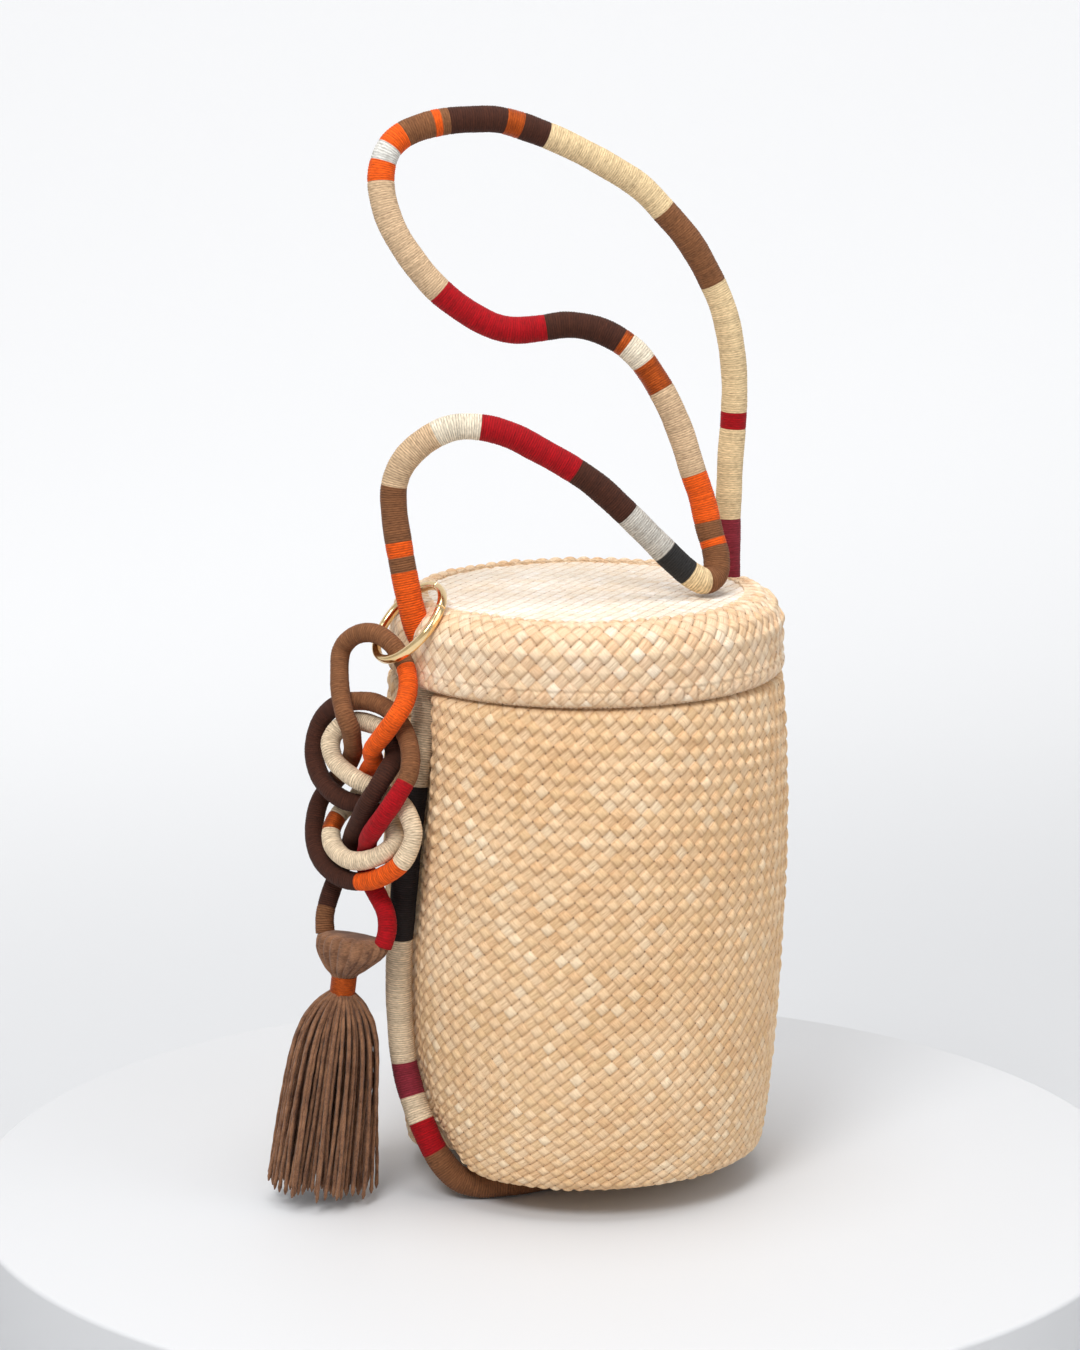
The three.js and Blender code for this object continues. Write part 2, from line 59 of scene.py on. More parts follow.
def placeCamera():
    # the camera stands at a horizontal distance from the basket's axis and looks slightly down
    azimuth = math.radians(cameraView["azimuth"])
    data = bpy.data.cameras.new("camera")
    data.lens = cameraView["lens"]
    data.sensor_width = 36
    camera = bpy.data.objects.new("camera", data)
    camera.location = (
        math.sin(azimuth) * cameraView["distance"],
        -math.cos(azimuth) * cameraView["distance"],
        cameraView["height"],
    )
    camera.rotation_euler = (
        math.radians(90 - cameraView["down"]),
        0,
        azimuth + math.radians(cameraView["turn"]),
    )
    bpy.context.scene.collection.objects.link(camera)
    bpy.context.scene.camera = camera


placeCamera()


# ---- colours and shader nodes ----
def linear(red, green, blue):
    # screen colour 0 to 255 turned into the linear light that shaders use
    share = np.array([red, green, blue]) / 255
    return np.where(share <= 0.04045, share / 12.92, ((share + 0.055) / 1.055) ** 2.4)


def shade(red, green, blue):
    return (*linear(red, green, blue).tolist(), 1.0)


def addNode(tree, kind, inputs=None, **settings):
    made = tree.nodes.new(kind)
    for key, value in settings.items():
        setattr(made, key, value)
    for socket, value in (inputs or {}).items():
        if isinstance(value, bpy.types.NodeSocket):
            tree.links.new(value, made.inputs[socket])
        else:
            made.inputs[socket].default_value = value
    return made


def calc(tree, operation, first, second=0.0, third=0.0):
    node = addNode(tree, "ShaderNodeMath", {0: first, 1: second, 2: third}, operation=operation)
    return node.outputs[0]


def mixColour(tree, share, first, second, blend="MIX"):
    sockets = {0: share, 6: first, 7: second}
    node = addNode(tree, "ShaderNodeMix", sockets, data_type="RGBA", blend_type=blend)
    return node.outputs[2]


def ramp(tree, value, stops, smooth=False):
    node = addNode(tree, "ShaderNodeValToRGB", {0: value})
    if not smooth:
        node.color_ramp.interpolation = "LINEAR"
    while len(node.color_ramp.elements) < len(stops):
        node.color_ramp.elements.new(0.5)
    for element, (place, colour) in zip(node.color_ramp.elements, stops):
        element.position = place
        element.color = colour
    return node.outputs[0]


def span(tree, value, low, high, toLow=0.0, toHigh=1.0):
    sockets = {0: value, 1: low, 2: high, 3: toLow, 4: toHigh}
    node = addNode(tree, "ShaderNodeMapRange", sockets, interpolation_type="SMOOTHSTEP")
    return node.outputs[0]


def fromMiddle(tree, count):
    # 0 at the middle of a strip and 1 at its edges
    across = calc(tree, "SUBTRACT", calc(tree, "FRACT", count), 0.5)
    return calc(tree, "MULTIPLY", calc(tree, "ABSOLUTE", across), 2.0)


def noise(tree, vector, scale, detail, roughness=0.5):
    sockets = {"Vector": vector, "Scale": scale, "Detail": detail, "Roughness": roughness}
    return addNode(tree, "ShaderNodeTexNoise", sockets).outputs[0]


def newMaterial(name):
    material = bpy.data.materials.new(name)
    material.use_nodes = True
    tree = material.node_tree
    return material, tree, tree.nodes["Principled BSDF"]


# the crease and pinhole colours are painted shade laid into the weave's folds and holes
strawLooks = {
    "body": {
        "tones": [(239, 206, 162), (244, 211, 168), (248, 219, 181), (238, 201, 157), (251, 229, 196)],
        "creaseShade": (186, 126, 76),
        "creaseShadeShare": 0.55,
        "pinholeShade": (84, 50, 28),
        "swell": 1.16,
        "relief": 0.0014,
    },
    "lid": {
        "tones": [(242, 217, 184), (238, 208, 171), (246, 226, 198), (235, 200, 162), (249, 233, 210)],
        "creaseShade": (190, 134, 88),
        "creaseShadeShare": 0.5,
        "pinholeShade": (100, 64, 40),
        "swell": 1.1,
        "relief": 0.0014,
    },
    # the lid's top: tones, creases and holes paler than the wall's, painted light for the bright upward face
    "top": {
        "tones": [(249, 244, 234), (248, 240, 226), (251, 247, 240), (246, 234, 216), (253, 250, 245)],
        "creaseShade": (206, 160, 118),
        "creaseShadeShare": 0.5,
        "pinholeShade": (130, 92, 62),
        "swell": 1.1,
        "relief": 0.001,
    },
}


def strawMaterial(name, look):
    # UV holds the two strip counts: whole numbers pick the strip, fractions are places across it
    material, tree, surface = newMaterial(name)
    uv = addNode(tree, "ShaderNodeUVMap", uv_map="strips").outputs[0]
    split = addNode(tree, "ShaderNodeSeparateXYZ", {0: uv})
    along, across = split.outputs[0], split.outputs[1]
    strip = calc(tree, "FLOOR", along)
    rib = calc(tree, "FLOOR", across)
    over = calc(tree, "FLOORED_MODULO", calc(tree, "ADD", strip, rib), 2.0)
    under = calc(tree, "SUBTRACT", 1.0, over)
    edgeAlong = fromMiddle(tree, along)
    edgeAcross = fromMiddle(tree, across)
    stripName = calc(tree, "ADD", calc(tree, "MULTIPLY", strip, over), calc(tree, "MULTIPLY", rib, under))
    stripSeed = addNode(tree, "ShaderNodeCombineXYZ", {0: stripName, 1: over}).outputs[0]
    cellSeed = addNode(tree, "ShaderNodeCombineXYZ", {0: strip, 1: rib}).outputs[0]
    stripTone = addNode(tree, "ShaderNodeTexWhiteNoise", {0: stripSeed}, noise_dimensions="3D").outputs[0]
    cellTone = addNode(tree, "ShaderNodeTexWhiteNoise", {0: cellSeed}, noise_dimensions="3D").outputs[0]
    tone = calc(tree, "ADD", calc(tree, "MULTIPLY", stripTone, 0.5), calc(tree, "MULTIPLY", cellTone, 0.5))
    stops = [(0.15 + 0.7 * n / 4, shade(*c)) for n, c in enumerate(look["tones"])]
    colour = ramp(tree, tone, stops)
    fineAlong = calc(tree, "MULTIPLY", along, calc(tree, "MULTIPLY_ADD", over, 13.0, 1.2))
    fineAcross = calc(tree, "MULTIPLY", across, calc(tree, "MULTIPLY_ADD", under, 13.0, 1.2))
    fibreAt = addNode(tree, "ShaderNodeCombineXYZ", {0: fineAlong, 1: fineAcross, 2: cellTone}).outputs[0]
    fibre = noise(tree, fibreAt, 1.0, 2.0, 0.6)
    fibreTint = ramp(tree, fibre, [(0.3, shade(196, 176, 150)), (0.62, shade(255, 255, 255))])
    colour = mixColour(tree, 0.5, colour, fibreTint, "MULTIPLY")
    # a crossing strip swells over its cell, so on a rib the crease lies a little inside
    ribLimit = calc(tree, "MULTIPLY_ADD", under, 1 - look["swell"], 1.0)
    foldAlong = calc(tree, "DIVIDE", edgeAlong, ribLimit)
    foldAcross = calc(tree, "DIVIDE", edgeAcross, ribLimit)
    nearAlong = calc(tree, "MINIMUM", foldAlong, calc(tree, "SUBTRACT", 2.0, foldAlong))
    nearAcross = calc(tree, "MINIMUM", foldAcross, calc(tree, "SUBTRACT", 2.0, foldAcross))
    # masks of the folds round each cell and along a rib's sides, for painted crease shade
    ribSide = calc(tree, "POWER", nearAcross, 9.0)
    # line down a rib between its two strands: painted shade in the gap, and a dip in the bump
    strandGap = calc(tree, "MULTIPLY", span(tree, edgeAcross, 0.16, 0.0), calc(tree, "MULTIPLY", under, 0.4))
    creaseShade = calc(tree, "MAXIMUM", calc(tree, "MULTIPLY", calc(tree, "POWER", nearAlong, 9.0), 0.5), ribSide)
    creaseShadeShare = calc(tree, "MULTIPLY", calc(tree, "MAXIMUM", creaseShade, strandGap), look["creaseShadeShare"])
    # painted shade: the folds take the darker crease colour
    colour = mixColour(tree, creaseShadeShare, colour, shade(*look["creaseShade"]))
    # painted shadow in the small holes where cells meet, stronger in some cells than others
    corner = calc(tree, "MINIMUM", edgeAlong, edgeAcross)
    pinholeShadeMask = calc(tree, "MULTIPLY", span(tree, corner, 0.76, 0.94), cellTone)
    colour = mixColour(tree, pinholeShadeMask, colour, shade(*look["pinholeShade"]))
    place = addNode(tree, "ShaderNodeTexCoord").outputs["Object"]
    patchy = noise(tree, place, 22.0, 3.0)
    patch = ramp(tree, patchy, [(0.3, shade(244, 236, 226)), (0.7, shade(255, 255, 255))])
    colour = mixColour(tree, 1.0, colour, patch, "MULTIPLY")
    tree.links.new(colour, surface.inputs["Base Color"])
    tree.links.new(span(tree, fibre, 0.3, 0.7, 0.68, 0.5), surface.inputs["Roughness"])
    surface.inputs["Specular IOR Level"].default_value = 0.35
    # dome of a crossing strip or crown of a rib, with the fibres on top
    crown = calc(tree, "SUBTRACT", 1.0, calc(tree, "POWER", calc(tree, "MINIMUM", foldAcross, 1.0), 3.0))
    length = calc(tree, "SUBTRACT", 1.0, calc(tree, "POWER", calc(tree, "MINIMUM", foldAlong, 1.0), 3.0))
    dome = calc(tree, "MULTIPLY", calc(tree, "SQRT", calc(tree, "MULTIPLY", crown, length)), over)
    ribCrown = calc(tree, "MULTIPLY", calc(tree, "SUBTRACT", crown, strandGap), under)
    rise = calc(tree, "MULTIPLY_ADD", ribCrown, 0.55, dome)
    rise = calc(tree, "MULTIPLY_ADD", fibre, 0.28, rise)
    bump = addNode(tree, "ShaderNodeBump", {"Strength": 0.55, "Distance": look["relief"], "Height": rise})
    tree.links.new(bump.outputs[0], surface.inputs["Normal"])
    return material


bodyStraw = strawMaterial("bodyStraw", strawLooks["body"])
lidStraw = strawMaterial("lidStraw", strawLooks["lid"])
topStrawPaintedLight = strawMaterial("topStrawPaintedLight", strawLooks["top"])

threadLook = {"streak": (176, 168, 162), "fuzz": 0.04, "bump": 0.6}


def threadMaterial():
    # colour and shine of each turn are on the mesh, the colour with painted shade between turns, UV holds
    # millimetres along and round the rope
    material, tree, surface = newMaterial("woundThread")
    paint = addNode(tree, "ShaderNodeAttribute", attribute_name="threadColour")
    uv = addNode(tree, "ShaderNodeUVMap", uv_map="windings").outputs[0]
    split = addNode(tree, "ShaderNodeSeparateXYZ", {0: uv})
    alongRope = calc(tree, "MULTIPLY", split.outputs[0], 2.2)
    roundRope = calc(tree, "MULTIPLY", split.outputs[1], 0.35)
    streakAt = addNode(tree, "ShaderNodeCombineXYZ", {0: alongRope, 1: roundRope}).outputs[0]
    streak = noise(tree, streakAt, 1.0, 3.0)
    lint = noise(tree, uv, 3.5, 4.0, 0.7)
    tint = ramp(tree, streak, [(0.32, shade(*threadLook["streak"])), (0.6, shade(255, 255, 255))])
    colour = mixColour(tree, 0.7, paint.outputs["Color"], tint, "MULTIPLY")
    tree.links.new(colour, surface.inputs["Base Color"])
    shine = paint.outputs["Alpha"]
    tree.links.new(calc(tree, "MULTIPLY_ADD", shine, -0.52, 0.86), surface.inputs["Roughness"])
    tree.links.new(calc(tree, "MULTIPLY", shine, 0.75), surface.inputs["Metallic"])
    surface.inputs["Sheen Weight"].default_value = threadLook["fuzz"]
    surface.inputs["Sheen Roughness"].default_value = 0.45
    surface.inputs["Specular IOR Level"].default_value = 0.25
    height = calc(tree, "ADD", streak, calc(tree, "MULTIPLY", lint, 0.6))
    sockets = {"Strength": threadLook["bump"], "Distance": 0.0004, "Height": height}
    bump = addNode(tree, "ShaderNodeBump", sockets)
    tree.links.new(bump.outputs[0], surface.inputs["Normal"])
    return material


woundThread = threadMaterial()


# ---- meshes from grids ----
def cornersOf(grid):
    # the four corners of every quad of a grid, in the order that a face lists them
    corners = [grid[:-1, :-1], grid[:-1, 1:], grid[1:, 1:], grid[1:, :-1]]
    return np.stack(corners, axis=2)


def wrapGrid(
    name, points, material, body, wrapRows=False, closeStart=False, closeEnd=False, uv=None, uvName="strips",
    rims=(),
):
    # rows of points, each closed on itself: quads join neighbours, a fan closes an end, rims stay sharp
    rows, columns, _ = points.shape
    index = np.arange(rows * columns).reshape(rows, columns)
    if wrapRows:
        index = np.vstack([index, index[:1]])
    around = np.hstack([index, index[:, :1]])
    quads = cornersOf(around).reshape(-1, 4)
    vertices = points.reshape(-1, 3)
    faces = quads.tolist()
    if closeStart:
        vertices = np.vstack([vertices, points[0].mean(axis=0)])
        centre = len(vertices) - 1
        faces += [[centre, b, a] for a, b in zip(around[0, :-1].tolist(), around[0, 1:].tolist())]
    if closeEnd:
        vertices = np.vstack([vertices, points[-1].mean(axis=0)])
        centre = len(vertices) - 1
        faces += [[centre, a, b] for a, b in zip(around[-1, :-1].tolist(), around[-1, 1:].tolist())]
    mesh = bpy.data.meshes.new(name)
    mesh.from_pydata(vertices.tolist(), [], faces)
    if uv is not None:
        layer = mesh.uv_layers.new(name=uvName)
        corners = cornersOf(uv).reshape(-1, 2)
        flat = np.zeros((len(mesh.loops), 2))
        flat[: len(corners)] = corners
        if len(flat) > len(corners):
            flat[len(corners):] = corners[-1]
        layer.data.foreach_set("uv", flat.ravel())
    mesh.polygons.foreach_set("use_smooth", np.ones(len(mesh.polygons), dtype=bool))
    if rims:
        ends = np.empty(len(mesh.edges) * 2, dtype=np.int32)
        mesh.edges.foreach_get("vertices", ends)
        row = ends.reshape(-1, 2) // columns
        mesh.edges.foreach_set("use_edge_sharp", (row[:, 0] == row[:, 1]) & np.isin(row[:, 0], rims))
    mesh.materials.append(material)
    mesh.update()
    piece = bpy.data.objects.new(name, mesh)
    bpy.context.scene.collection.objects.link(piece)
    if body:
        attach(piece, body)
    return piece


def hashed(first, second, seed=0.0):
    # a repeatable random number from 0 to 1 for each pair of whole numbers
    value = np.sin(first * 12.9898 + second * 78.233 + seed * 37.719) * 43758.5453
    return value - np.floor(value)


def smooth(value, low, high):
    share = np.clip((value - low) / (high - low), 0, 1)
    return share * share * (3 - 2 * share)


# ---- ropes ----
def throughPoints(points, perMillimetre):
    # centripetal spline through the points, resampled to equal steps along its length
    p = np.array(points, float)
    p = np.vstack([2 * p[0] - p[1], p, 2 * p[-1] - p[-2]])
    knots = np.concatenate([[0], np.cumsum(np.sqrt(np.linalg.norm(np.diff(p, axis=0), axis=1)))])
    pieces = []
    for n in range(1, len(p) - 2):
        t = np.linspace(knots[n], knots[n + 1], 60, endpoint=n == len(p) - 3)[:, None]
        t0, t1, t2, t3 = knots[n - 1: n + 3]
        a1 = (t1 - t) / (t1 - t0) * p[n - 1] + (t - t0) / (t1 - t0) * p[n]
        a2 = (t2 - t) / (t2 - t1) * p[n] + (t - t1) / (t2 - t1) * p[n + 1]
        a3 = (t3 - t) / (t3 - t2) * p[n + 1] + (t - t2) / (t3 - t2) * p[n + 2]
        b1 = (t2 - t) / (t2 - t0) * a1 + (t - t0) / (t2 - t0) * a2
        b2 = (t3 - t) / (t3 - t1) * a2 + (t - t1) / (t3 - t1) * a3
        pieces.append((t2 - t) / (t2 - t1) * b1 + (t - t1) / (t2 - t1) * b2)
    fine = np.vstack(pieces)
    reached = np.concatenate([[0], np.cumsum(np.linalg.norm(np.diff(fine, axis=0), axis=1))])
    length = reached[-1]
    stations = np.linspace(0, length, int(length * perMillimetre) + 1)
    line = np.stack([np.interp(stations, reached, fine[:, k]) for k in range(3)], axis=1)
    return line, stations


def eased(line, reach):
    # moving average over neighbouring stations, with the ends kept where they are
    kernel = np.hanning(2 * reach + 3)[1:-1]
    kernel /= kernel.sum()
    padded = np.vstack([2 * line[0] - line[reach:0:-1], line, 2 * line[-1] - line[-2:-reach - 2:-1]])
    return np.stack([np.convolve(padded[:, k], kernel, mode="valid") for k in range(3)], axis=1)


threads = {
    "cream": (214, 183, 147, 0),
    "paleCream": (233, 210, 178, 0),
    "creamWhite": (232, 220, 198, 0),
    "creamYellow": (232, 205, 160, 0),
    "tan": (132, 86, 54, 0),
    "orange": (238, 94, 14, 0.1),
    "copper": (176, 78, 20, 0.75),
    "red": (170, 0, 16, 0.05),
    "burgundy": (142, 42, 56, 0.05),
    "brown": (70, 36, 23, 0),
    "charcoal": (44, 43, 43, 0),
    "black": (40, 33, 32, 0),
    "grey": (196, 192, 184, 0.05),
    "pale": (218, 217, 211, 0.05),
}
windings = {"pitch": 1.05, "ridge": 0.3, "stationsEachTurn": 4, "turnShade": 0.12, "unevenness": 0.07}


def woundRope(name, route, bands, radius, sides, outward, body):
    # circle carried along the spline, its radius rippling once a turn of thread: a row of round backs
    perTurn = windings["stationsEachTurn"]
    line, stations = throughPoints(route, perTurn / windings["pitch"])
    line = eased(line, 10)
    tangent = np.gradient(line, axis=0)
    tangent /= np.linalg.norm(tangent, axis=1)[:, None]
    normal = outward - (tangent @ outward)[:, None] * tangent
    normal /= np.linalg.norm(normal, axis=1)[:, None]
    binormal = np.cross(tangent, normal)
    turn = np.floor(stations / windings["pitch"])
    inTurn = stations / windings["pitch"] - turn
    ripple = np.sqrt(np.clip(1 - (2 * inTurn - 1) ** 2, 0, 1))
    handMade = windings["unevenness"] * (np.sin(stations / 7.3) + np.sin(stations / 3.1 + 1.7))
    size = radius - windings["ridge"] * (1 - ripple) + handMade + 0.1 * (hashed(turn, turn * 0, 3) - 0.5)
    ends = np.array([end for _, end in bands[:-1]] + [stations[-1] + 1])
    which = np.searchsorted(ends, stations, side="right").clip(0, len(bands) - 1)
    atEdge = np.abs(stations[:, None] - ends[None, :]).min(axis=1)
    size -= 0.12 * np.exp(-((atEdge / 0.5) ** 2))
    angle = np.linspace(0, 2 * np.pi, sides, endpoint=False)
    angle = angle[None, :, None]
    direction = normal[:, None] * np.cos(angle) + binormal[:, None] * np.sin(angle)
    points = (line[:, None] + direction * size[:, None, None]) * mm
    wrapped = np.linspace(0, 2 * np.pi, sides + 1) * radius
    uv = np.stack(np.broadcast_arrays(stations[:, None], wrapped[None, :]), axis=-1)
    piece = wrapGrid(
        name, points, woundThread, None, closeStart=True, closeEnd=True, uv=uv, uvName="windings"
    )
    table = np.array([[*linear(*threads[colour][:3]), threads[colour][3]] for colour, _ in bands])
    paint = table[which]
    lighter = 1 + windings["turnShade"] * (hashed(turn, which, 5) - 0.5) * 2
    # darker in the groove at each turn's edges and a little lighter on its back: painted shade and light
    # over each turn's random tone
    paint[:, :3] *= (lighter * (0.44 + 0.64 * ripple))[:, None]
    perVertex = np.repeat(paint, sides, axis=0)
    perVertex = np.vstack([perVertex, paint[:1], paint[-1:]])
    layer = piece.data.attributes.new("threadColour", "FLOAT_COLOR", "POINT")
    layer.data.foreach_set("color", perVertex.astype(np.float32).ravel())
    if body:
        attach(piece, body)
    return piece, line * mm, stations[-1] * mm


handleRoute = [
    [-76.8, -8, 243.4], [-76.9, -7.9, 247], [-78.6, -7.2, 252.5], [-81.4, -6, 260], [-84, -5, 270],
    [-86, -3, 282], [-88, 0, 298], [-89, 3, 312], [-88.5, 4, 323], [-84.5, 3, 333], [-75.5, 1, 342],
    [-64, -3, 348], [-50.5, -7, 348], [-38, -10.5, 344], [-29, -13, 339], [-14, -17, 330],
    [-3, -20, 322], [9.5, -23.5, 310], [20, -26.5, 299], [31, -29.5, 287.5], [38.5, -31, 280.8],
    [45, -31, 277.6], [51, -28, 279.5], [53, -24.5, 287], [51, -20.5, 299],
    [48.5, -17.5, 313], [45, -15, 325], [40.5, -12.5, 341], [35, -9.5, 355.5], [28.5, -6, 368],
    [22.5, -4, 376.5], [15, -1, 383], [5, 2.5, 388], [-7, 6, 390], [-19, 9, 388.5],
    [-31, 11, 388], [-41.5, 14, 391], [-61.5, 19, 405], [-75.5, 23, 422.5], [-82.5, 27, 436.5],
    [-85, 31, 450.5], [-84, 33, 459.5], [-80.5, 34, 467.5], [-74, 35, 473], [-64, 34, 477],
    [-53, 33, 479], [-42, 32, 479.5], [-30, 31, 479], [-9, 29, 472], [5, 27, 465.5],
    [19.5, 25, 457.5], [34, 23, 448], [45, 21, 436.5], [55.5, 19, 424], [64.5, 18, 409],
    [71.5, 16.5, 393], [75.5, 16, 376], [77.5, 16.5, 358.5], [77.5, 17.5, 340.5],
    [76.5, 18, 324], [76, 18, 309], [75.5, 18, 295], [75.5, 18, 270], [75, 18, 248], [75, 18, 243.4],
]
cradleRoute = [
    [-76.8, -8, 242.6], [-76.8, -8.2, 239], [-77.6, -9.2, 231], [-81.5, -12.5, 214], [-86.5, -16, 190],
    [-89.5, -14, 157], [-91.5, -9.5, 120], [-91.3, -6, 94], [-89.3, -6.5, 61], [-87, -11.5, 46],
    [-84, -17, 34], [-78.5, -22.5, 20], [-70, -25.5, 9.5], [-60, -28, 6.2], [-48.5, -30, 6.2],
    [-30, -28, 6.2], [-5, -20, 6.2], [22, -9, 6.2], [45, 2, 6.2], [62, 10, 6.4], [74, 15, 10.5],
    [82, 18, 20], [86, 19.5, 34], [88, 19, 60], [89, 19, 100], [90, 19, 140], [89, 19, 180],
    [84.5, 19, 209], [75.2, 18, 229], [74.6, 18, 238], [75, 18, 242.6],
]
# the charm's rope in the charm's own plane: across, down, out of the plane
charmRoute = [
    [-30.5, 126.5, -3], [-31.5, 119, -4], [-31, 110.5, -7], [-27.5, 100, -9], [-22.5, 91.5, -9],
    [-16.5, 82, -5], [-8, 74, 2], [3, 62.5, 9.8], [9, 54, 9.8], [11.5, 47.5, 6], [9.5, 42, -2.5],
    [7, 36.5, -4], [2, 32.5, -6], [-5.5, 31, -6.5], [-13, 30.5, -6.5], [-19, 31.5, -5.5],
    [-23, 34.5, -3], [-24.8, 39, -0.5], [-23.5, 42, 1.5], [-20, 47.5, 2.5], [-13.5, 51.5, 2.5],
    [-6.5, 54, 3], [0, 56.5, 1], [8, 59, 1], [16.5, 62, 1], [21.5, 67, 2], [23.5, 73, 2],
    [22, 80, 3], [17.5, 87, 4], [9, 93, 4], [-0.5, 97, 4], [-11.5, 98.5, 3.5], [-22, 97, 2],
    [-31.5, 92.5, -1], [-37.5, 85, -4], [-39, 77, -6.5], [-38.5, 69.5, -9.5], [-32.5, 62, -9.8],
    [-27, 56.5, -9.8], [-22, 51.5, -8.5], [-17, 45, -6.2], [-11.5, 37.5, 1], [-8.5, 31, 6],
    [-10, 25, 8], [-14, 17.5, 6], [-16.5, 10.5, 4], [-17, -1, 2], [-10, -8, 1], [0, -10, 0],
    [10, -6, 0], [17, 2, 0], [20.5, 9.5, 2], [21, 16, 5], [17.5, 23, 7.5], [10.5, 31, 7],
    [2.5, 39, 4.5], [-2.5, 46, -3], [-10.5, 53, -8.8], [-14, 59.5, -9.8], [-18.5, 66.3, -10.3],
    [-23.5, 71, -8], [-25, 75, -4], [-24.5, 79.5, 0], [-21.5, 84.5, 2.5], [-14, 88, 5],
    [-6, 88.5, 6.4], [2.5, 86.5, 6], [8.5, 83.5, 4.5], [12, 79, 0.5], [10.5, 74.5, -1.5],
    [5.5, 71, -3.5], [-2.5, 68.5, -4.5], [-8, 65.5, -1], [-15, 64.5, 1.2], [-23, 61, 2.2],
    [-32.5, 55, -1], [-36.5, 46.5, -2.5], [-36, 38, -4], [-31.5, 30, -4], [-22, 23.5, -3],
    [-12, 21, -3], [-3, 20.5, -3.5], [5.5, 23, -4], [12, 27.5, -3], [18, 33.5, -1], [22, 40, 2],
    [23, 47.5, 5], [21, 54, 8.5], [17, 61, 10.5], [9.8, 69.2, 9.6], [1, 77.5, 5], [-6.5, 85, -3.2],
    [-9.5, 91.5, -5.5], [-8.5, 99, -6.5], [-3, 105.5, -6], [2.5, 112.5, -5], [4.5, 119.5, -3.5],
    [3, 127, -2],
]
# colour of each stretch of thread and the millimetre at which it ends
handleBands = [
    ("orange", 43.4), ("tan", 50), ("orange", 56.6), ("tan", 81.5), ("cream", 112), ("creamWhite", 132.3),
    ("red", 178.8), ("brown", 209.3), ("grey", 233.3), ("charcoal", 247.8), ("creamYellow", 257),
    ("tan", 277.4), ("orange", 280.8), ("tan", 289.0), ("orange", 311.1), ("cream", 351.7), ("copper", 366),
    ("creamWhite", 376.9), ("copper", 380.6), ("brown", 415.2), ("red", 467.5), ("cream", 523),
    ("orange", 532), ("pale", 539.1), ("orange", 547.8), ("tan", 561.6), ("orange", 565), ("tan", 568.8),
    ("brown", 594.4), ("copper", 602.1), ("brown", 614.7), ("creamYellow", 678.8), ("tan", 719.7),
    ("creamYellow", 779.8), ("red", 787.7), ("creamYellow", 829.1), ("burgundy", 900),
]
cradleBands = [
    ("paleCream", 52.8), ("black", 124.7), ("paleCream", 184.1), ("burgundy", 200.1), ("paleCream", 212.2),
    ("red", 227.3), ("tan", 377), ("paleCream", 700),
]
charmBands = [
    ("tan", 12), ("brown", 122), ("paleCream", 236), ("orange", 262), ("brown", 335), ("tan", 452),
    ("orange", 528),
    ("paleCream", 549), ("copper", 557), ("paleCream", 622), ("brown", 706), ("tan", 767), ("red", 900),
]
charmPlace = {"hang": (-99.8, -1.3, 248.1), "turn": -55.5, "rest": 16.3, "lean": 0.12}
towardFront = np.array([-0.342, -0.94, 0])
charmTurn = math.radians(charmPlace["turn"])
charmAcross = np.array([math.cos(charmTurn), math.sin(charmTurn), 0])
charmOut = np.array([math.sin(charmTurn), -math.cos(charmTurn), 0])


def inCharm(across, down, out):
    # the charm's plane hangs from the ring and comes forward as it goes down, to rest on the basket
    down = np.asarray(down, float)
    settled = charmPlace["rest"] * (1 - np.exp(-np.maximum(down, 0) / 30))
    forward = settled + charmPlace["lean"] * np.maximum(0, down - 60)
    place = np.array(charmPlace["hang"])
    place = place + np.multiply.outer(across, charmAcross) + np.multiply.outer(out, charmOut)
    return place + np.multiply.outer(forward, towardFront) - np.multiply.outer(down, [0, 0, 1])


handle, handleLine, handleLength = woundRope(
    "handle", handleRoute, handleBands, 6.0, 20, towardFront, "lid"
)
cradle, cradleLine, cradleLength = woundRope(
    "cradle", cradleRoute, cradleBands, 6.0, 20, towardFront, None
)
charmPoints = np.array(charmRoute)
charmPoints = inCharm(charmPoints[:, 0], charmPoints[:, 1], charmPoints[:, 2])
charmRope, charmLine, charmLength = woundRope(
    "charm_rope", charmPoints, charmBands, 4.3, 16, charmOut, "charm"
)
print("ropes:", round(handleLength, 3), round(cradleLength, 3), round(charmLength, 3), "m")
names = sorted(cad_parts)
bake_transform(cradle)
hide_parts(*[n for n in names if n.startswith("handle_")])
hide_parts(*[n for n in names if n.startswith("cradle_")])
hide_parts(*[n for n in names if n.startswith("charm_")])


# ---- basket ----
basket = {
    "wall": 2.5,
    "belly": 90.5,
    "bellyAt": 165.0,
    "base": 80.0,
    "corner": 6.0,
    "neck": 83.5,
    "neckTop": 261.3,
    "neckFrom": 232.5,
    "frontLift": 14.5,
    "columns": 640,
    "bands": 3,
    "bandRows": 122,
    "stripsAround": 90,
    "ribsAround": 76,
    "strip": 4.8,
}


def baseHeight(x, y):
    # the underside is flat at the back and rises in a curve to the front, which the rope props
    along = x * -0.342 + y * -0.94
    share = np.clip((along + 0.7 * basket["base"]) / (1.5 * basket["base"]), 0, 1)
    return basket["frontLift"] * share * (2 - share)


ropePress = np.vstack([cradleLine[::12], handleLine[:160:12], handleLine[-160::12]]) / mm
ropeSeat = {"width": 13.0, "clear": 8.2, "parting": 243.0}


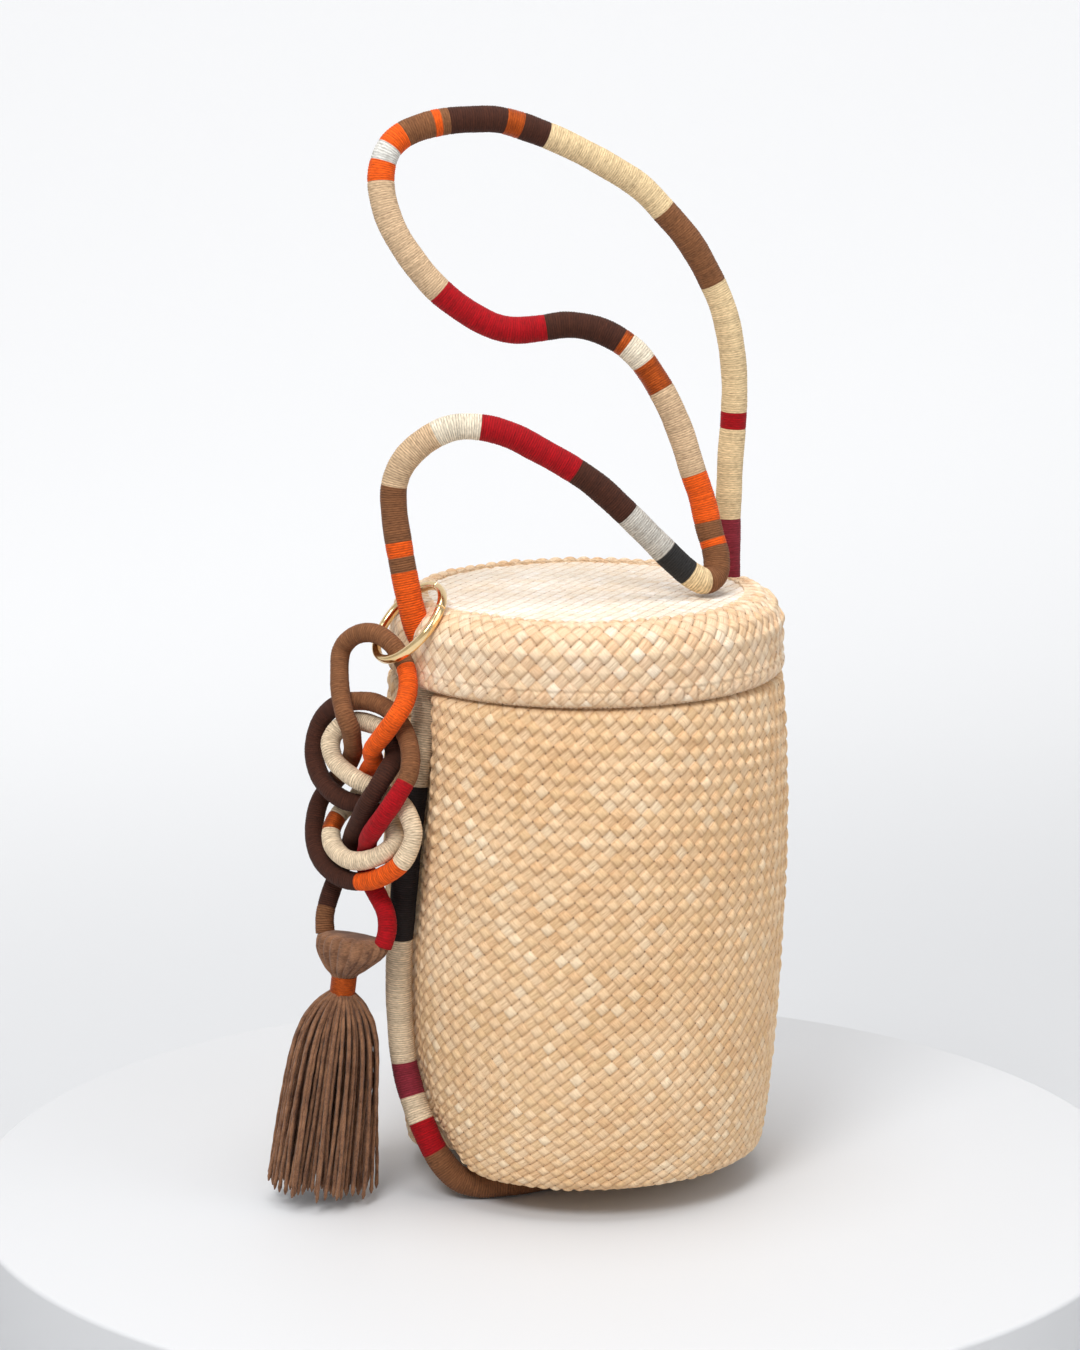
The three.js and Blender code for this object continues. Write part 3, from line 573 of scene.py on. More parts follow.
def wallGroove(x, y, z, outer):
    # dent that leaves room for the rope: a bell curve round the rope, as deep as the rope needs
    height = np.minimum(z, ropeSeat["parting"])
    angle = np.arctan2(y, x)
    deepest = np.zeros_like(x)
    for px, py, pz in ropePress:
        reach = math.hypot(px, py)
        turned = angle - math.atan2(py, px)
        turned = np.arctan2(np.sin(turned), np.cos(turned))
        depth = (outer - reach + ropeSeat["clear"]) * np.exp(-((outer * turned / ropeSeat["width"]) ** 2))
        close = (np.abs(pz - height) < 3.2) & (reach > outer - 18)
        deepest = np.maximum(deepest, np.where(close, depth, 0))
    return deepest


def baseGroove(x, y, height):
    # the base gives way upwards over the rope that lies under it
    highest = np.zeros_like(x)
    for px, py, pz in ropePress[ropePress[:, 2] < 54]:
        depth = (pz + 9.5 - height) * np.exp(-(np.hypot(px - x, py - y) / ropeSeat["width"]) ** 2)
        highest = np.maximum(highest, np.minimum(depth, 17.4))
    return highest


def wallRadius(z):
    # barrel: a parabola above and below the belly, then a short step in to the neck
    low = basket["belly"] - (basket["belly"] - basket["base"]) * ((z - basket["bellyAt"]) / 165) ** 2
    high = basket["belly"] - 7 * ((z - basket["bellyAt"]) / 105) ** 2
    body = np.where(z < basket["bellyAt"], low, high)
    return body + (basket["neck"] - body) * smooth(z, basket["neckFrom"], basket["neckFrom"] + 4)


def pressed(radius, z, angle, profileZ):
    # puts a profile point on the leaning base and into the rope's dents
    x = radius * np.cos(angle)
    y = radius * np.sin(angle)
    fade = np.maximum(0, 1 - profileZ / 70) ** 2
    lifted = z + baseHeight(x, y) * fade
    nearBase = np.maximum(0, 1 - profileZ / 30)
    lifted = lifted + baseGroove(x, y, lifted) * nearBase
    inwards = wallGroove(x, y, lifted, radius)
    scale = 1 - inwards / radius * np.clip((radius - 40) / 24, 0, 1)
    return np.stack([x * scale, y * scale, lifted], axis=-1)


def weaveHeight(p, q, bead, rib, swell):
    # plain weave: a crossing strip is a superellipse dome, a rib a flat crown between steep sides
    strip, ribNumber = np.floor(p), np.floor(q)
    acrossRib = np.abs(q - ribNumber - 0.5) * 2
    alongRib = np.abs(p - strip - 0.5) * 2
    isRib = (strip + ribNumber) % 2 == 0
    crown = rib * np.clip(1 - (acrossRib / 0.94) ** 4, 0, 1) * (1 - 0.3 * alongRib ** 2)
    height = np.where(isRib, crown, 0)
    for stepP, stepQ in ((0, 0), (1, 0), (-1, 0), (0, 1), (0, -1)):
        i, j = strip + stepP, ribNumber + stepQ
        a = np.abs(p - i - 0.5) * 2 / swell
        b = np.abs(q - j - 0.5) * 2 / swell
        dome = np.sqrt(np.clip(1 - a ** 2.3, 0, 1) * np.clip(1 - b ** 2.3, 0, 1))
        size = bead * (0.75 + 0.5 * hashed(i, j))
        height = np.maximum(height, np.where((i + j) % 2 == 1, dome * size, 0))
    return height


def outwardNormal(points):
    # cross product of the steps round and up the surface
    around = np.roll(points, -1, axis=1) - np.roll(points, 1, axis=1)
    up = np.gradient(points, axis=0)
    normal = np.cross(around, up)
    return normal / np.maximum(np.linalg.norm(normal, axis=-1), 1e-9)[..., None]


def handWavering(angle, z, size):
    # slow wander of the strips, as hands leave it
    slow = np.sin(3 * angle + z / 31)
    quicker = np.sin(7 * angle - z / 17 + 1.3) * 0.6
    slanting = np.sin(z / 11 + 2 * angle) * 0.4
    return size * (slow + quicker + slanting)


def wallCounts(turn, length):
    # strips counted along the two directions that they run in: both rise, one to each side
    steep = math.atan(basket["ribsAround"] / basket["stripsAround"])
    wander = handWavering(2 * np.pi * turn, length, 0.14)
    p = basket["stripsAround"] * turn + length * math.sin(steep) / basket["strip"] + 200 + wander
    q = -basket["ribsAround"] * turn + length * math.cos(steep) / basket["strip"] + 400 - wander
    return p, q


def basketWall(name, rows):
    # outside: barrel rows with the weave on them; inside: fewer of the rows, a wall's thickness in
    columns = basket["columns"]
    angle = np.linspace(0, 2 * np.pi, columns, endpoint=False)[None, :]
    turn = np.linspace(0, 1, columns + 1)[None, :]
    radius = rows[:, :1] * np.ones_like(angle)
    z = rows[:, 1:] * np.ones_like(angle)
    outside = pressed(radius, z, angle * np.ones_like(z), z)
    p, q = wallCounts(turn, rows[:, 1:] - basket["corner"])
    high = smooth(z, 90, 185)
    height = weaveHeight(p[:, :-1], q[:, :-1], 0.95 + 0.7 * high, 0.5, 1.05 + 0.12 * high)
    height = height * (1 - smooth(z, basket["neckFrom"] - 1, basket["neckFrom"] + 3))
    outside = outside + outwardNormal(outside) * height[..., None]
    outside[..., 2] = np.maximum(outside[..., 2], 0.05)
    back = rows[:: -(len(rows) // 5)]
    back = np.vstack([back, rows[:1]]) if back[-1, 1] > rows[0, 1] + 1 else back
    back = back[back[:, 1] >= 3] if rows[0, 1] < 3 else back
    innerZ = back[:, 1:] * np.ones_like(angle)
    inside = pressed(back[:, :1] - basket["wall"] + 0 * angle, innerZ, angle * np.ones_like(innerZ), innerZ)
    innerP, innerQ = wallCounts(turn, back[:, 1:] - basket["corner"])
    points = np.vstack([outside, inside])
    outerUv = np.stack([p, q], axis=-1)
    innerUv = np.stack([innerP, innerQ], axis=-1)
    uv = np.vstack([outerUv, innerUv, outerUv[:1]])
    rims = (0, len(rows) - 1)
    piece = wrapGrid(name, points * mm, bodyStraw, "bag", wrapRows=True, uv=uv, rims=rims)
    return piece


def wallRows():
    # profile of the barrel from the base's corner up to the neck, as radius and height
    corner = basket["corner"]
    bend = np.linspace(0, 0.5 * np.pi, 9)[:-1]
    side = np.linspace(corner, basket["neckTop"], basket["bands"] * basket["bandRows"] - 8)
    radius = np.concatenate([basket["base"] - corner + corner * np.sin(bend), wallRadius(side)])
    return np.stack([radius, np.concatenate([corner - corner * np.cos(bend), side])], axis=1)


def basketBase():
    # two woven discs closed at their edge: the underside and the floor inside
    angle = np.linspace(0, 2 * np.pi, 300, endpoint=False)[None, :]
    under = np.linspace(1.0, 76.5, 62)[:, None]
    above = np.linspace(77.0, 1.0, 20)[:, None]

    def disc(radius, lift):
        r = radius * np.ones_like(angle)
        a = angle * np.ones_like(r)
        x, y = r * np.cos(a), r * np.sin(a)
        level = baseHeight(x, y)
        level = level + baseGroove(x, y, level)
        edge = np.maximum(0, r - 74) * 0.2
        return np.stack([x, y, level + lift + edge], axis=-1)

    def strips(radius, columns):
        turn = np.linspace(0, 2 * np.pi, columns + 1)[None, :]
        x, y = radius * np.cos(turn), radius * np.sin(turn)
        return (x + y) / 1.414 / 4.8 + 200, (y - x) / 1.414 / 4.8 + 200

    p, q = strips(under, 300)
    height = weaveHeight(p[:, :-1], q[:, :-1], 0.6, 0.4, 1.0)
    lower = disc(under, 0.9)
    lower[..., 2] -= height * smooth(lower[..., 2], 0.9, 2.5)
    upper = disc(above, 3.2)
    p2, q2 = strips(above, 300)
    uv = np.vstack([np.stack([p, q], axis=-1), np.stack([p2, q2], axis=-1)])
    points = np.vstack([lower, upper])[::-1] * mm
    return wrapGrid("basket_base", points, bodyStraw, "bag", closeStart=True, closeEnd=True, uv=uv[::-1])


profile = wallRows()
step = basket["bandRows"]
wallPieces = [
    basketWall(f"basket_wall_{n + 1}", profile[n * step: (n + 1) * step + 1]) for n in range(basket["bands"])
]
basePiece = basketBase()
for piece in wallPieces:
    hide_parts("basket_body")
print("basket woven")

# ---- lid ----
lid = {
    "radius": 87.5,
    "bottom": 236.8,
    "top": 270.0,
    "shoulder": 13.0,
    "wall": 2.5,
    "columns": 640,
    "rows": 96,
    "stripsAround": 74,
    "strip": 5.25,
    "rimBeads": 80,
    "flatFrom": 72.0,
}

keyRing = {
    "centre": (-86.4, -10.0, 263.8),
    "normal": (-0.745, -0.082, 0.662),
    "radius": 20.0,
    "width": 2.0,
    "depth": 1.75,
}


def ropeDimple(points, reach, depth):
    # the lid's top dips in where the rope goes through it
    low = np.zeros(points.shape[:2])
    for px, py, pz in np.vstack([handleLine[60:140:6], handleLine[-200:-60:8]]) / mm:
        away = np.linalg.norm(points - np.array([px, py, pz]), axis=-1)
        low = np.maximum(low, np.exp(-((away / reach) ** 4)))
    return low * depth


def lidProfile():
    # lid's outside from its rim up the wall, over the shoulder and a little way in
    wall = np.linspace(lid["bottom"], lid["top"] - lid["shoulder"], 24)
    bend = np.linspace(0, 0.5 * np.pi, 22)[1:]
    inner = np.linspace(lid["radius"] - lid["shoulder"], lid["flatFrom"] - 1, 4)[1:]
    radius = np.concatenate(
        [np.full(24, lid["radius"]), lid["radius"] - lid["shoulder"] * (1 - np.cos(bend)), inner]
    )
    z = np.concatenate([wall, lid["top"] - lid["shoulder"] * (1 - np.sin(bend)), np.full(3, lid["top"])])
    return radius, z


def lidShell():
    radius, z = lidProfile()
    length = np.concatenate([[0], np.cumsum(np.hypot(np.diff(radius), np.diff(z)))])
    fine = np.linspace(0, length[-1], lid["rows"])
    radius = np.interp(fine, length, radius)[:, None]
    z = np.interp(fine, length, z)[:, None]
    angle = np.linspace(0, 2 * np.pi, lid["columns"], endpoint=False)[None, :]
    x, y = radius * np.cos(angle), radius * np.sin(angle)
    outside = np.stack([x, y, z * np.ones_like(angle)], axis=-1)
    turn = np.linspace(0, 1, lid["columns"] + 1)[None, :]
    run = fine[:, None]
    wander = handWavering(2 * np.pi * turn, run, 0.1)
    p = lid["stripsAround"] * turn + run * 0.707 / lid["strip"] + 200 + wander
    q = -lid["stripsAround"] * turn + run * 0.707 / lid["strip"] + 400 - wander
    height = weaveHeight(p[:, :-1], q[:, :-1], 1.6, 0.8, 1.12)
    beadTurn = lid["rimBeads"] * turn[:, :-1]
    beadNumber = np.floor(beadTurn)
    a = np.abs(beadTurn - beadNumber - 0.5) * 2
    b = np.abs(run - 3.4) / 3.1
    fold = (1.8 + 0.5 * hashed(beadNumber, 0 * beadNumber)) * np.sqrt(
        np.clip(1 - a ** 2.4, 0, 1) * np.clip(1 - b ** 2.4, 0, 1)
    )
    rimShare = 1 - smooth(run, 5.5, 7.0)
    height = height * (1 - rimShare) + fold * rimShare
    # the weave lies flatter under the ring, so that its gate can open
    underRing = np.exp(-((np.linalg.norm(outside - np.array(keyRing["centre"]), axis=-1) / 32) ** 4))
    height = height * (1 - underRing)
    normal = outwardNormal(outside)
    outside = outside + normal * height[..., None]
    outside = outside - normal * ropeDimple(outside, 9.5, 3.2)[..., None]
    insideR = [85.0, 85.0, 85.0, 84.0, 81.5, 78.0, 74.5, 71.0]
    insideZ = [236.9, 245.0, 256.0, 261.0, 265.0, 266.8, 267.5, 267.5]
    ring = np.ones_like(angle)
    rise = np.array(insideZ)[::-1, None] * ring
    reach = np.array(insideR)[::-1, None]
    inside = np.stack([reach * np.cos(angle), reach * np.sin(angle), rise], axis=-1)
    points = np.vstack([outside, inside])
    uv = np.stack([p, q], axis=-1)
    innerRun = (np.array(insideZ)[::-1, None] - 235) * 0.707 / lid["strip"]
    innerUv = np.stack(
        [lid["stripsAround"] * turn + innerRun + 200, -lid["stripsAround"] * turn + innerRun + 400], axis=-1
    )
    uv = np.vstack([uv, innerUv, uv[:1]])
    return wrapGrid("lid_shell", points * mm, lidStraw, "lid", wrapRows=True, uv=uv)


def lidTop():
    # woven disc of the lid's top with its own square lattice, closed at the edge
    angle = np.linspace(0, 2 * np.pi, 380, endpoint=False)[None, :]
    upper = np.linspace(1.0, 75.0, 66)[::-1, None]
    turn = np.linspace(0, 2 * np.pi, 381)[None, :]
    p = upper * (np.cos(turn) + np.sin(turn)) / 1.414 / lid["strip"] + 200
    q = upper * (np.sin(turn) - np.cos(turn)) / 1.414 / lid["strip"] + 200
    height = weaveHeight(p[:, :-1], q[:, :-1], 0.55, 0.36, 1.0)
    level = lid["top"] - 0.35 + height - 1.2 * smooth(upper, 71.5, 75)
    level = level + 0.5 * np.sin(upper * np.cos(angle) / 23) * np.cos(upper * np.sin(angle) / 19 + 1)
    top = np.stack([upper * np.cos(angle), upper * np.sin(angle), level], axis=-1)
    top[..., 2] -= ropeDimple(top, 9.5, 3.2)
    lower = np.array([75.0, 50.0, 20.0, 1.0])[:, None]
    below = np.stack(
        [lower * np.cos(angle), lower * np.sin(angle), 267.4 * np.ones_like(lower * angle)], axis=-1
    )
    p2 = lower * (np.cos(turn) + np.sin(turn)) / 1.414 / lid["strip"] + 200
    q2 = lower * (np.sin(turn) - np.cos(turn)) / 1.414 / lid["strip"] + 200
    points = np.vstack([below[::-1], top])
    uv = np.vstack([np.stack([p2, q2], axis=-1)[::-1], np.stack([p, q], axis=-1)])
    return wrapGrid("lid_top", points * mm, topStrawPaintedLight, "lid", closeStart=True, closeEnd=True, uv=uv)


lidRim = {"radius": 86.6, "height": 237.2, "thickness": 1.15, "twists": 130}


def lidRimCord():
    # two strands twisted round each other and laid round the lid's edge
    count = 1040
    around = np.linspace(0, 2 * np.pi, count, endpoint=False)[:, None]
    angle = np.linspace(0, 2 * np.pi, 10, endpoint=False)[None, :]
    lobes = lidRim["thickness"] * (0.78 + 0.34 * np.abs(np.cos(angle - lidRim["twists"] * around)))
    radius = lidRim["radius"] + lobes * np.cos(angle)
    z = lidRim["height"] + lobes * np.sin(angle) + 0 * around
    points = np.stack([radius * np.cos(around), radius * np.sin(around), z], axis=-1)
    run = np.linspace(0, 260, count + 1)[:, None]
    wrapped = np.linspace(0, 2, 11)[None, :]
    uv = np.stack(np.broadcast_arrays(run, wrapped), axis=-1)
    return wrapGrid("lid_rim", points[:, ::-1] * mm, lidStraw, "lid", wrapRows=True, uv=uv)


shellPiece = lidShell()
topPiece = lidTop()
rimPiece = lidRimCord()
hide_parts("lid")
print("lid woven")

# ---- ring ----


def goldMaterial():
    material, tree, surface = newMaterial("polishedGold")
    place = addNode(tree, "ShaderNodeTexCoord").outputs["Object"]
    worn = noise(tree, place, 260.0, 4.0)
    tree.links.new(span(tree, worn, 0.35, 0.75, 0.1, 0.26), surface.inputs["Roughness"])
    colour = ramp(tree, worn, [(0.3, shade(240, 204, 146)), (0.7, shade(250, 222, 172))])
    tree.links.new(colour, surface.inputs["Base Color"])
    surface.inputs["Metallic"].default_value = 1.0
    return material


gold = goldMaterial()


def ringArc(name, fromAngle, toAngle, count, body):
    # rounded-square section carried round part of a circle
    normal = np.array(keyRing["normal"]) / np.linalg.norm(keyRing["normal"])
    down = np.array([0, 0, -1.0]) + normal * normal[2]
    down /= np.linalg.norm(down)
    across = np.cross(normal, down)
    around = np.radians(np.linspace(fromAngle, toAngle, count))[:, None]
    angle = np.linspace(0, 2 * np.pi, 20, endpoint=False)[None, :]
    edge = (np.abs(np.cos(angle)) ** 3 + np.abs(np.sin(angle)) ** 3) ** (-1 / 3)
    reach = keyRing["radius"] + keyRing["depth"] * edge * np.cos(angle)
    side = keyRing["width"] * edge * np.sin(angle) + 0 * around
    points = np.array(keyRing["centre"]) + (
        (reach * np.cos(around))[..., None] * down
        + (reach * np.sin(around))[..., None] * across
        + side[..., None] * normal
    )
    return wrapGrid(name, points[:, ::-1] * mm, gold, body, closeStart=True, closeEnd=True)


ringPiece = ringArc("split_ring", 176.0, 484.0, 150, "ring")
gatePiece = ringArc("ring_gate_bar", 125.4, 175.0, 28, "gate")
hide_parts("ring")
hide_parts("ring_gate")

# ---- tassel ----
tassel = {
    "across": -16.5,
    "top": 127.8,
    "lean": (-0.114, 0.041, -1.0),
    "headHeight": 15.6,
    "binding": 5.8,
    "bindingHeight": 9.0,
    "yarns": 150,
    "yarnRadius": 0.86,
    "spread": 24.5,
    "length": 93.0,
    "seed": 4,
}
tasselTop = inCharm(tassel["across"], tassel["top"], -2.0)
tasselDown = np.array(tassel["lean"]) / np.linalg.norm(tassel["lean"])
tasselSide = np.cross(tasselDown, [0, 1.0, 0])
tasselSide /= np.linalg.norm(tasselSide)
tasselFront = np.cross(tasselDown, tasselSide)


def yarnMaterial(name, base, deep):
    material, tree, surface = newMaterial(name)
    uv = addNode(tree, "ShaderNodeUVMap", uv_map="plies").outputs[0]
    place = addNode(tree, "ShaderNodeTexCoord").outputs["Object"]
    fibre = noise(tree, uv, 2.0, 4.0, 0.7)
    patchy = noise(tree, place, 160.0, 2.0)
    both = calc(tree, "MULTIPLY_ADD", fibre, 0.6, calc(tree, "MULTIPLY", patchy, 0.4))
    colour = ramp(tree, both, [(0.36, shade(*deep)), (0.62, shade(*base))])
    tree.links.new(colour, surface.inputs["Base Color"])
    surface.inputs["Roughness"].default_value = 0.9
    surface.inputs["Sheen Weight"].default_value = 0.15
    surface.inputs["Sheen Roughness"].default_value = 0.5
    surface.inputs["Specular IOR Level"].default_value = 0.2
    bump = addNode(tree, "ShaderNodeBump", {"Strength": 0.5, "Distance": 0.0004, "Height": fibre})
    tree.links.new(bump.outputs[0], surface.inputs["Normal"])
    return material


tanYarn = yarnMaterial("tanYarn", (150, 107, 77), (84, 54, 38))


def tasselPoints(side, front, down):
    place = tasselTop + np.multiply.outer(side, tasselSide) + np.multiply.outer(front, tasselFront)
    return place + np.multiply.outer(down, tasselDown)


def tasselSkirt():
    # two-ply yarns: an oval section turning as it goes down a path that bows out from the binding
    random = np.random.default_rng(tassel["seed"])
    count, stations, sides = tassel["yarns"], 44, 8
    share = np.sqrt((np.arange(count) + 0.5) / count)
    angle = np.arange(count) * 2.39996 + random.normal(0, 0.05, count)
    spread = tassel["spread"] * share * random.uniform(0.93, 1.04, count)
    start = 4.6 * share
    length = tassel["length"] * random.uniform(0.965, 1.0, count) - 2.0 * (1 - share)
    t = np.linspace(0, 1, stations)[None, :]
    bell = 1 - np.exp(-t / 0.12)
    radius = start[:, None] + (spread - start)[:, None] * (0.78 * bell + 0.22 * t)
    swing = random.normal(0, 1.0, (count, 2, 1))
    wave = np.sin(t * 5 + random.uniform(0, 6, (count, 1)))
    wobble = swing * wave[:, None, :] * t[:, None, :]
    side = radius * np.cos(angle)[:, None] + wobble[:, 0]
    front = radius * np.sin(angle)[:, None] * 0.92 + wobble[:, 1]
    top = tassel["headHeight"] + tassel["bindingHeight"] - 1.5
    line = tasselPoints(side, front, top + length[:, None] * t)
    tangent = np.gradient(line, axis=1)
    tangent /= np.linalg.norm(tangent, axis=-1)[..., None]
    normal = tasselFront - (tangent @ tasselFront)[..., None] * tangent
    normal /= np.linalg.norm(normal, axis=-1)[..., None]
    binormal = np.cross(tangent, normal)
    ring = np.linspace(0, 2 * np.pi, sides, endpoint=False)
    twist = length[:, None] * t * 1.15 + random.uniform(0, 6, (count, 1))
    lobe = tassel["yarnRadius"] * (0.72 + 0.4 * np.abs(np.cos(ring[None, None, :] - twist[..., None])))
    frayed = 1 + 0.25 * smooth(t, 0.95, 1.0)[..., None] - 0.9 * (t[..., None] >= 1)
    lobe = lobe * frayed
    direction = normal[..., None, :] * np.cos(ring)[:, None] + binormal[..., None, :] * np.sin(ring)[:, None]
    points = line[..., None, :] + direction * lobe[..., None]
    return points


def bundle(name, points, material, body, uvStep):
    # many separate tubes in one mesh: quads round each, a flat fan at both ends
    count, rows, columns, _ = points.shape
    index = np.arange(count * rows * columns).reshape(count, rows, columns)
    around = np.concatenate([index, index[..., :1]], axis=-1)
    quads = np.stack(
        [around[:, :-1, :-1], around[:, :-1, 1:], around[:, 1:, 1:], around[:, 1:, :-1]], axis=-1
    ).reshape(-1, 4)
    mesh = bpy.data.meshes.new(name)
    ends = np.concatenate([index[:, 0, ::-1], index[:, -1, :]]).tolist()
    mesh.from_pydata(points.reshape(-1, 3).tolist(), [], quads.tolist() + ends)
    layer = mesh.uv_layers.new(name="plies")
    run = np.arange(rows)[None, :, None] * uvStep + np.arange(count)[:, None, None] * 7.0
    girth = np.arange(columns + 1)[None, None, :] * 0.4
    grid = np.stack(np.broadcast_arrays(run, girth), axis=-1)
    corners = np.stack(
        [grid[:, :-1, :-1], grid[:, :-1, 1:], grid[:, 1:, 1:], grid[:, 1:, :-1]], axis=3
    ).reshape(-1, 2)
    flat = np.zeros((len(mesh.loops), 2))
    flat[: len(corners)] = corners
    layer.data.foreach_set("uv", flat.ravel())
    mesh.polygons.foreach_set("use_smooth", np.ones(len(mesh.polygons), dtype=bool))
    mesh.materials.append(material)
    mesh.update()
    piece = bpy.data.objects.new(name, mesh)
    bpy.context.scene.collection.objects.link(piece)
    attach(piece, body)
    return piece


skirt = bundle("tassel_yarns", tasselSkirt() * mm, tanYarn, "tassel", 1.0)
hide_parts("tassel_skirt")


def tasselHead():
    # yarn folded over the rope's end: a flattened bell with a ridge for each yarn, closed over the top
    down = np.array([-3.6, -3.3, -2.4, -1.0, 1.0, 3.5, 6.0, 8.5, 11.0, 13.0, 14.6, 15.8])[:, None]
    wide = np.array([9.0, 15.0, 17.2, 18.0, 18.0, 17.2, 15.4, 12.9, 10.2, 8.0, 6.3, 5.7])[:, None]
    deep = np.array([4.0, 6.6, 8.0, 8.8, 9.2, 9.4, 9.2, 8.6, 7.8, 7.0, 6.1, 5.7])[:, None]
    steps = np.linspace(0, 11, 60)
    down = np.interp(steps, np.arange(12), down[:, 0])[:, None]
    wide = np.interp(steps, np.arange(12), wide[:, 0])[:, None]
    deep = np.interp(steps, np.arange(12), deep[:, 0])[:, None]
    angle = np.linspace(0, 2 * np.pi, 224, endpoint=False)[None, :]
    strand = 20 * angle / (2 * np.pi)
    ridge = np.abs(np.sin(np.pi * (strand + 0.16 * (down + 3) / 6 + 0.2 * np.sin(angle * 3)))) ** 0.6
    ridge = 1.7 * ridge * smooth(wide, 3, 9) * smooth(down + 0 * angle, -3.6, -2) - 0.5
    out = np.cross(tasselDown, charmAcross)
    side = (wide + ridge) * np.cos(angle) + 2.8 * (1 - smooth(down, -3.6, 15.8))
    front = (deep + ridge) * np.sin(angle)
    points = tasselTop + side[..., None] * charmAcross + front[..., None] * out
    points = points + (down + 0 * angle)[..., None] * tasselDown
    run = np.linspace(0, 20, 60)[:, None]
    uv = np.stack(np.broadcast_arrays(run, np.linspace(0, 28, 225)[None, :]), axis=-1)
    points = points * mm
    return wrapGrid(
        "tassel_cap", points, tanYarn, "charm", closeStart=True, closeEnd=True, uv=uv, uvName="plies"
    )


def tasselBinding():
    # shiny thread wound close: round backs one above the other on a straight neck
    rows = 81
    down = np.linspace(0, tassel["bindingHeight"], rows)[:, None]
    inTurn = down % 0.9 / 0.9
    ripple = np.sqrt(np.clip(1 - (2 * inTurn - 1) ** 2, 0, 1))
    angle = np.linspace(0, 2 * np.pi, 36, endpoint=False)[None, :]
    radius = tassel["binding"] - 0.3 + 0.25 * ripple + 0 * angle
    side = radius * np.cos(angle)
    front = radius * np.sin(angle)
    points = tasselPoints(side, front, tassel["headHeight"] + down + 0 * angle) * mm
    run = np.linspace(0, 9, rows)[:, None]
    uv = np.stack(np.broadcast_arrays(run, np.linspace(0, 39.6, 37)[None, :]), axis=-1)
    piece = wrapGrid(
        "tassel_winding", points, woundThread, "charm", closeStart=True, closeEnd=True, uv=uv,
        uvName="windings",
    )
    paint = np.array([*linear(*threads["copper"][:3]), threads["copper"][3]])
    perVertex = np.tile(paint, (len(piece.data.vertices), 1))
    layer = piece.data.attributes.new("threadColour", "FLOAT_COLOR", "POINT")
    layer.data.foreach_set("color", perVertex.astype(np.float32).ravel())
    return piece


cap = tasselHead()
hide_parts("tassel_head")
neckWinding = tasselBinding()
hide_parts("tassel_binding")
print("charm and tassel made")


# ---- floor, backdrop and light ----
def floorMaterial():
    material, tree, surface = newMaterial("paleFloor")
    # the sheet glows a little from some way behind the bag
    place = addNode(tree, "ShaderNodeTexCoord").outputs["Object"]
    behind = addNode(tree, "ShaderNodeSeparateXYZ", {0: place}).outputs[1]
    tree.links.new(span(tree, behind, 0.3, 1.7, 0.0, 0.32), surface.inputs["Emission Strength"])
    surface.inputs["Emission Color"].default_value = (1.0, 1.0, 1.0, 1.0)
    surface.inputs["Base Color"].default_value = shade(209, 210, 212)
    surface.inputs["Roughness"].default_value = 0.6
    surface.inputs["Specular IOR Level"].default_value = 0.2
    return material


plinth = {"centre": (-0.015, -0.007), "radius": 0.2685, "height": 0.11, "edge": 0.002}


def roundPlinth():
    # low white drum that the bag stands on, its top edge rounded
    bend = np.linspace(0, 0.5 * np.pi, 6)
    rounded = plinth["radius"] - plinth["edge"] * (1 - np.cos(bend))
    radius = np.concatenate([[plinth["radius"]], rounded, [0.02]])
    z = np.concatenate([[-plinth["height"]], -plinth["edge"] * (1 - np.sin(bend)), [0]]) - 0.0002
    angle = np.linspace(0, 2 * np.pi, 180, endpoint=False)
    x = plinth["centre"][0] + radius[:, None] * np.cos(angle)
    y = plinth["centre"][1] + radius[:, None] * np.sin(angle)
    points = np.stack([x, y, z[:, None] + 0 * x], axis=-1)
    drum = wrapGrid("plinth", points, floorMaterial(), None, closeStart=True, closeEnd=True, rims=(0,))


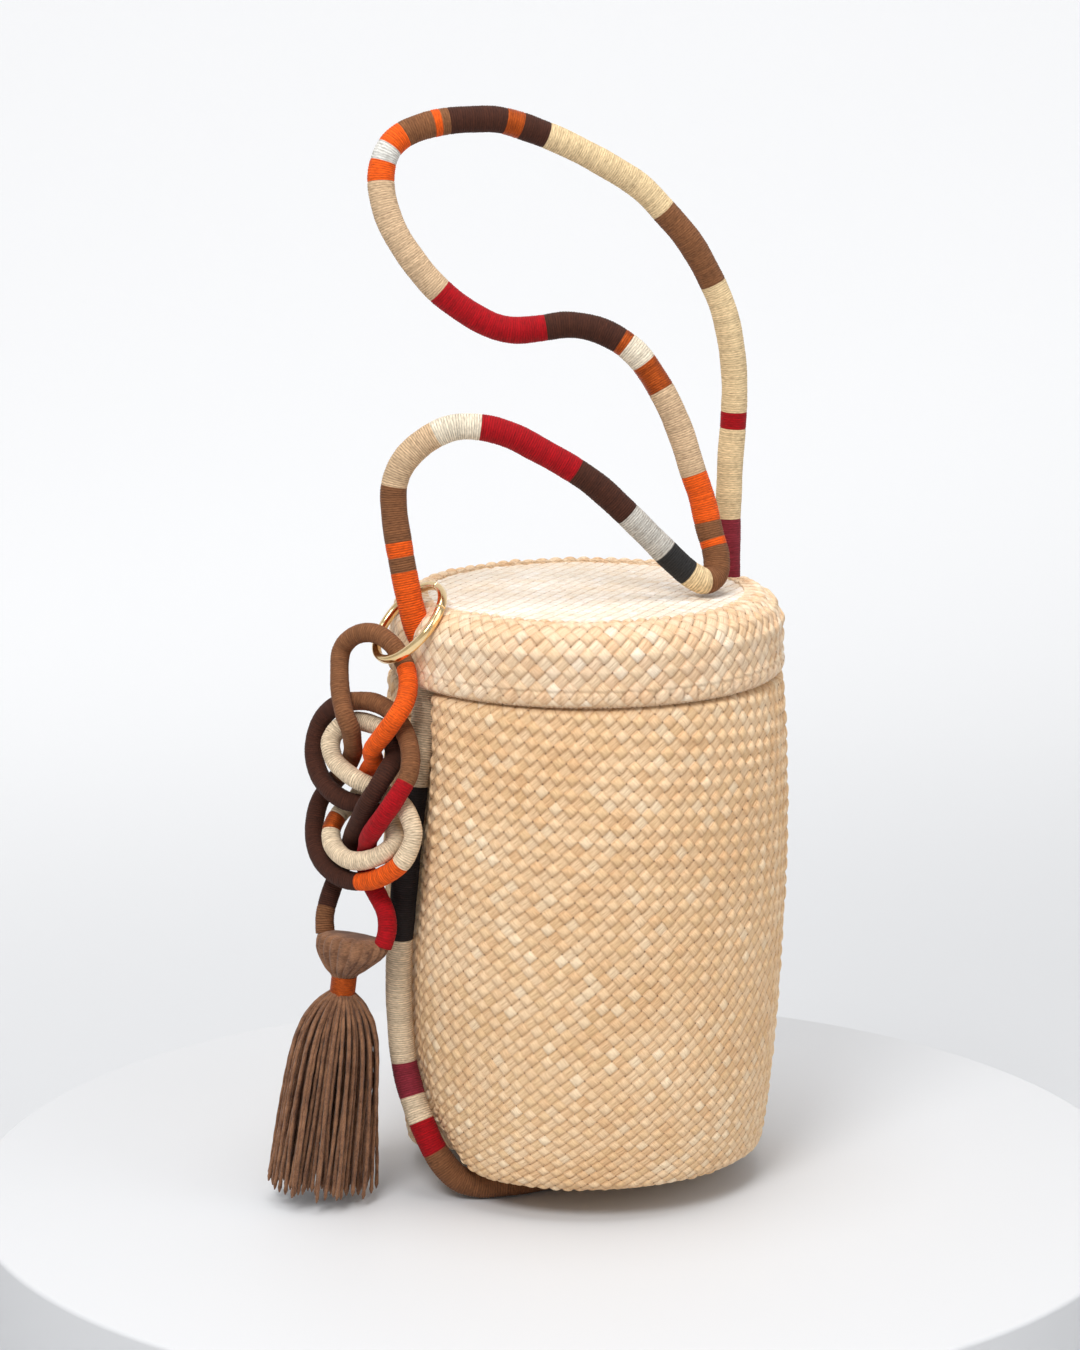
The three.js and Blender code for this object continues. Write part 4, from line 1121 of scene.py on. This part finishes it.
def floorAndBackdrop():
    # one sheet: flat under the plinth, curving up behind it
    bend = np.linspace(0.1, np.pi / 2, 20)
    depth = np.concatenate([np.linspace(-3.0, 1.2, 12), 1.2 + 1.2 * np.sin(bend), [2.4]])
    rise = np.concatenate([np.zeros(12), 1.2 - 1.2 * np.cos(bend), [5.0]])
    across = np.linspace(-4, 4, 9)
    azimuth = math.radians(cameraView["azimuth"])
    right = np.array([math.cos(azimuth), math.sin(azimuth), 0])
    away = np.array([-math.sin(azimuth), math.cos(azimuth), 0])
    points = across[None, :, None] * right + depth[:, None, None] * away
    points[..., 2] += rise[:, None]
    points[..., 2] -= plinth["height"]
    rows, columns = points.shape[:2]
    index = np.arange(rows * columns).reshape(rows, columns)
    quads = cornersOf(index).reshape(-1, 4)
    mesh = bpy.data.meshes.new("floor")
    mesh.from_pydata(points.reshape(-1, 3).tolist(), [], quads.tolist())
    mesh.polygons.foreach_set("use_smooth", np.ones(len(mesh.polygons), dtype=bool))
    mesh.materials.append(floorMaterial())
    floor = bpy.data.objects.new("floor", mesh)
    bpy.context.scene.collection.objects.link(floor)


lights = [
    {"name": "keyLight", "at": (-1.1, -1.3, 1.9), "size": 0.9, "power": 33},
    {"name": "topLight", "at": (-0.1, -0.2, 2.3), "size": 1.2, "power": 24},
    {"name": "fillLight", "at": (1.7, -1.7, 1.2), "size": 1.8, "power": 12},
]


def studioLights():
    for light in lights:
        data = bpy.data.lights.new(light["name"], "AREA")
        data.shape = "DISK"
        data.size = light["size"]
        data.energy = light["power"]
        lamp = bpy.data.objects.new(light["name"], data)
        lamp.location = light["at"]
        aim = np.array([0, 0, 0.2]) - np.array(light["at"])
        lamp.rotation_euler = (
            math.atan2(math.hypot(aim[0], aim[1]), -aim[2]),
            0,
            math.atan2(aim[1], aim[0]) - math.pi / 2,
        )
        bpy.context.scene.collection.objects.link(lamp)
    world = bpy.data.worlds.new("softWhite")
    world.use_nodes = True
    world.node_tree.nodes["Background"].inputs[0].default_value = (1.0, 1.0, 1.0, 1.0)
    world.node_tree.nodes["Background"].inputs[1].default_value = 0.5
    bpy.context.scene.world = world
    bpy.context.scene.view_settings.view_transform = "Standard"


roundPlinth()
floorAndBackdrop()
studioLights()
print("stage set")
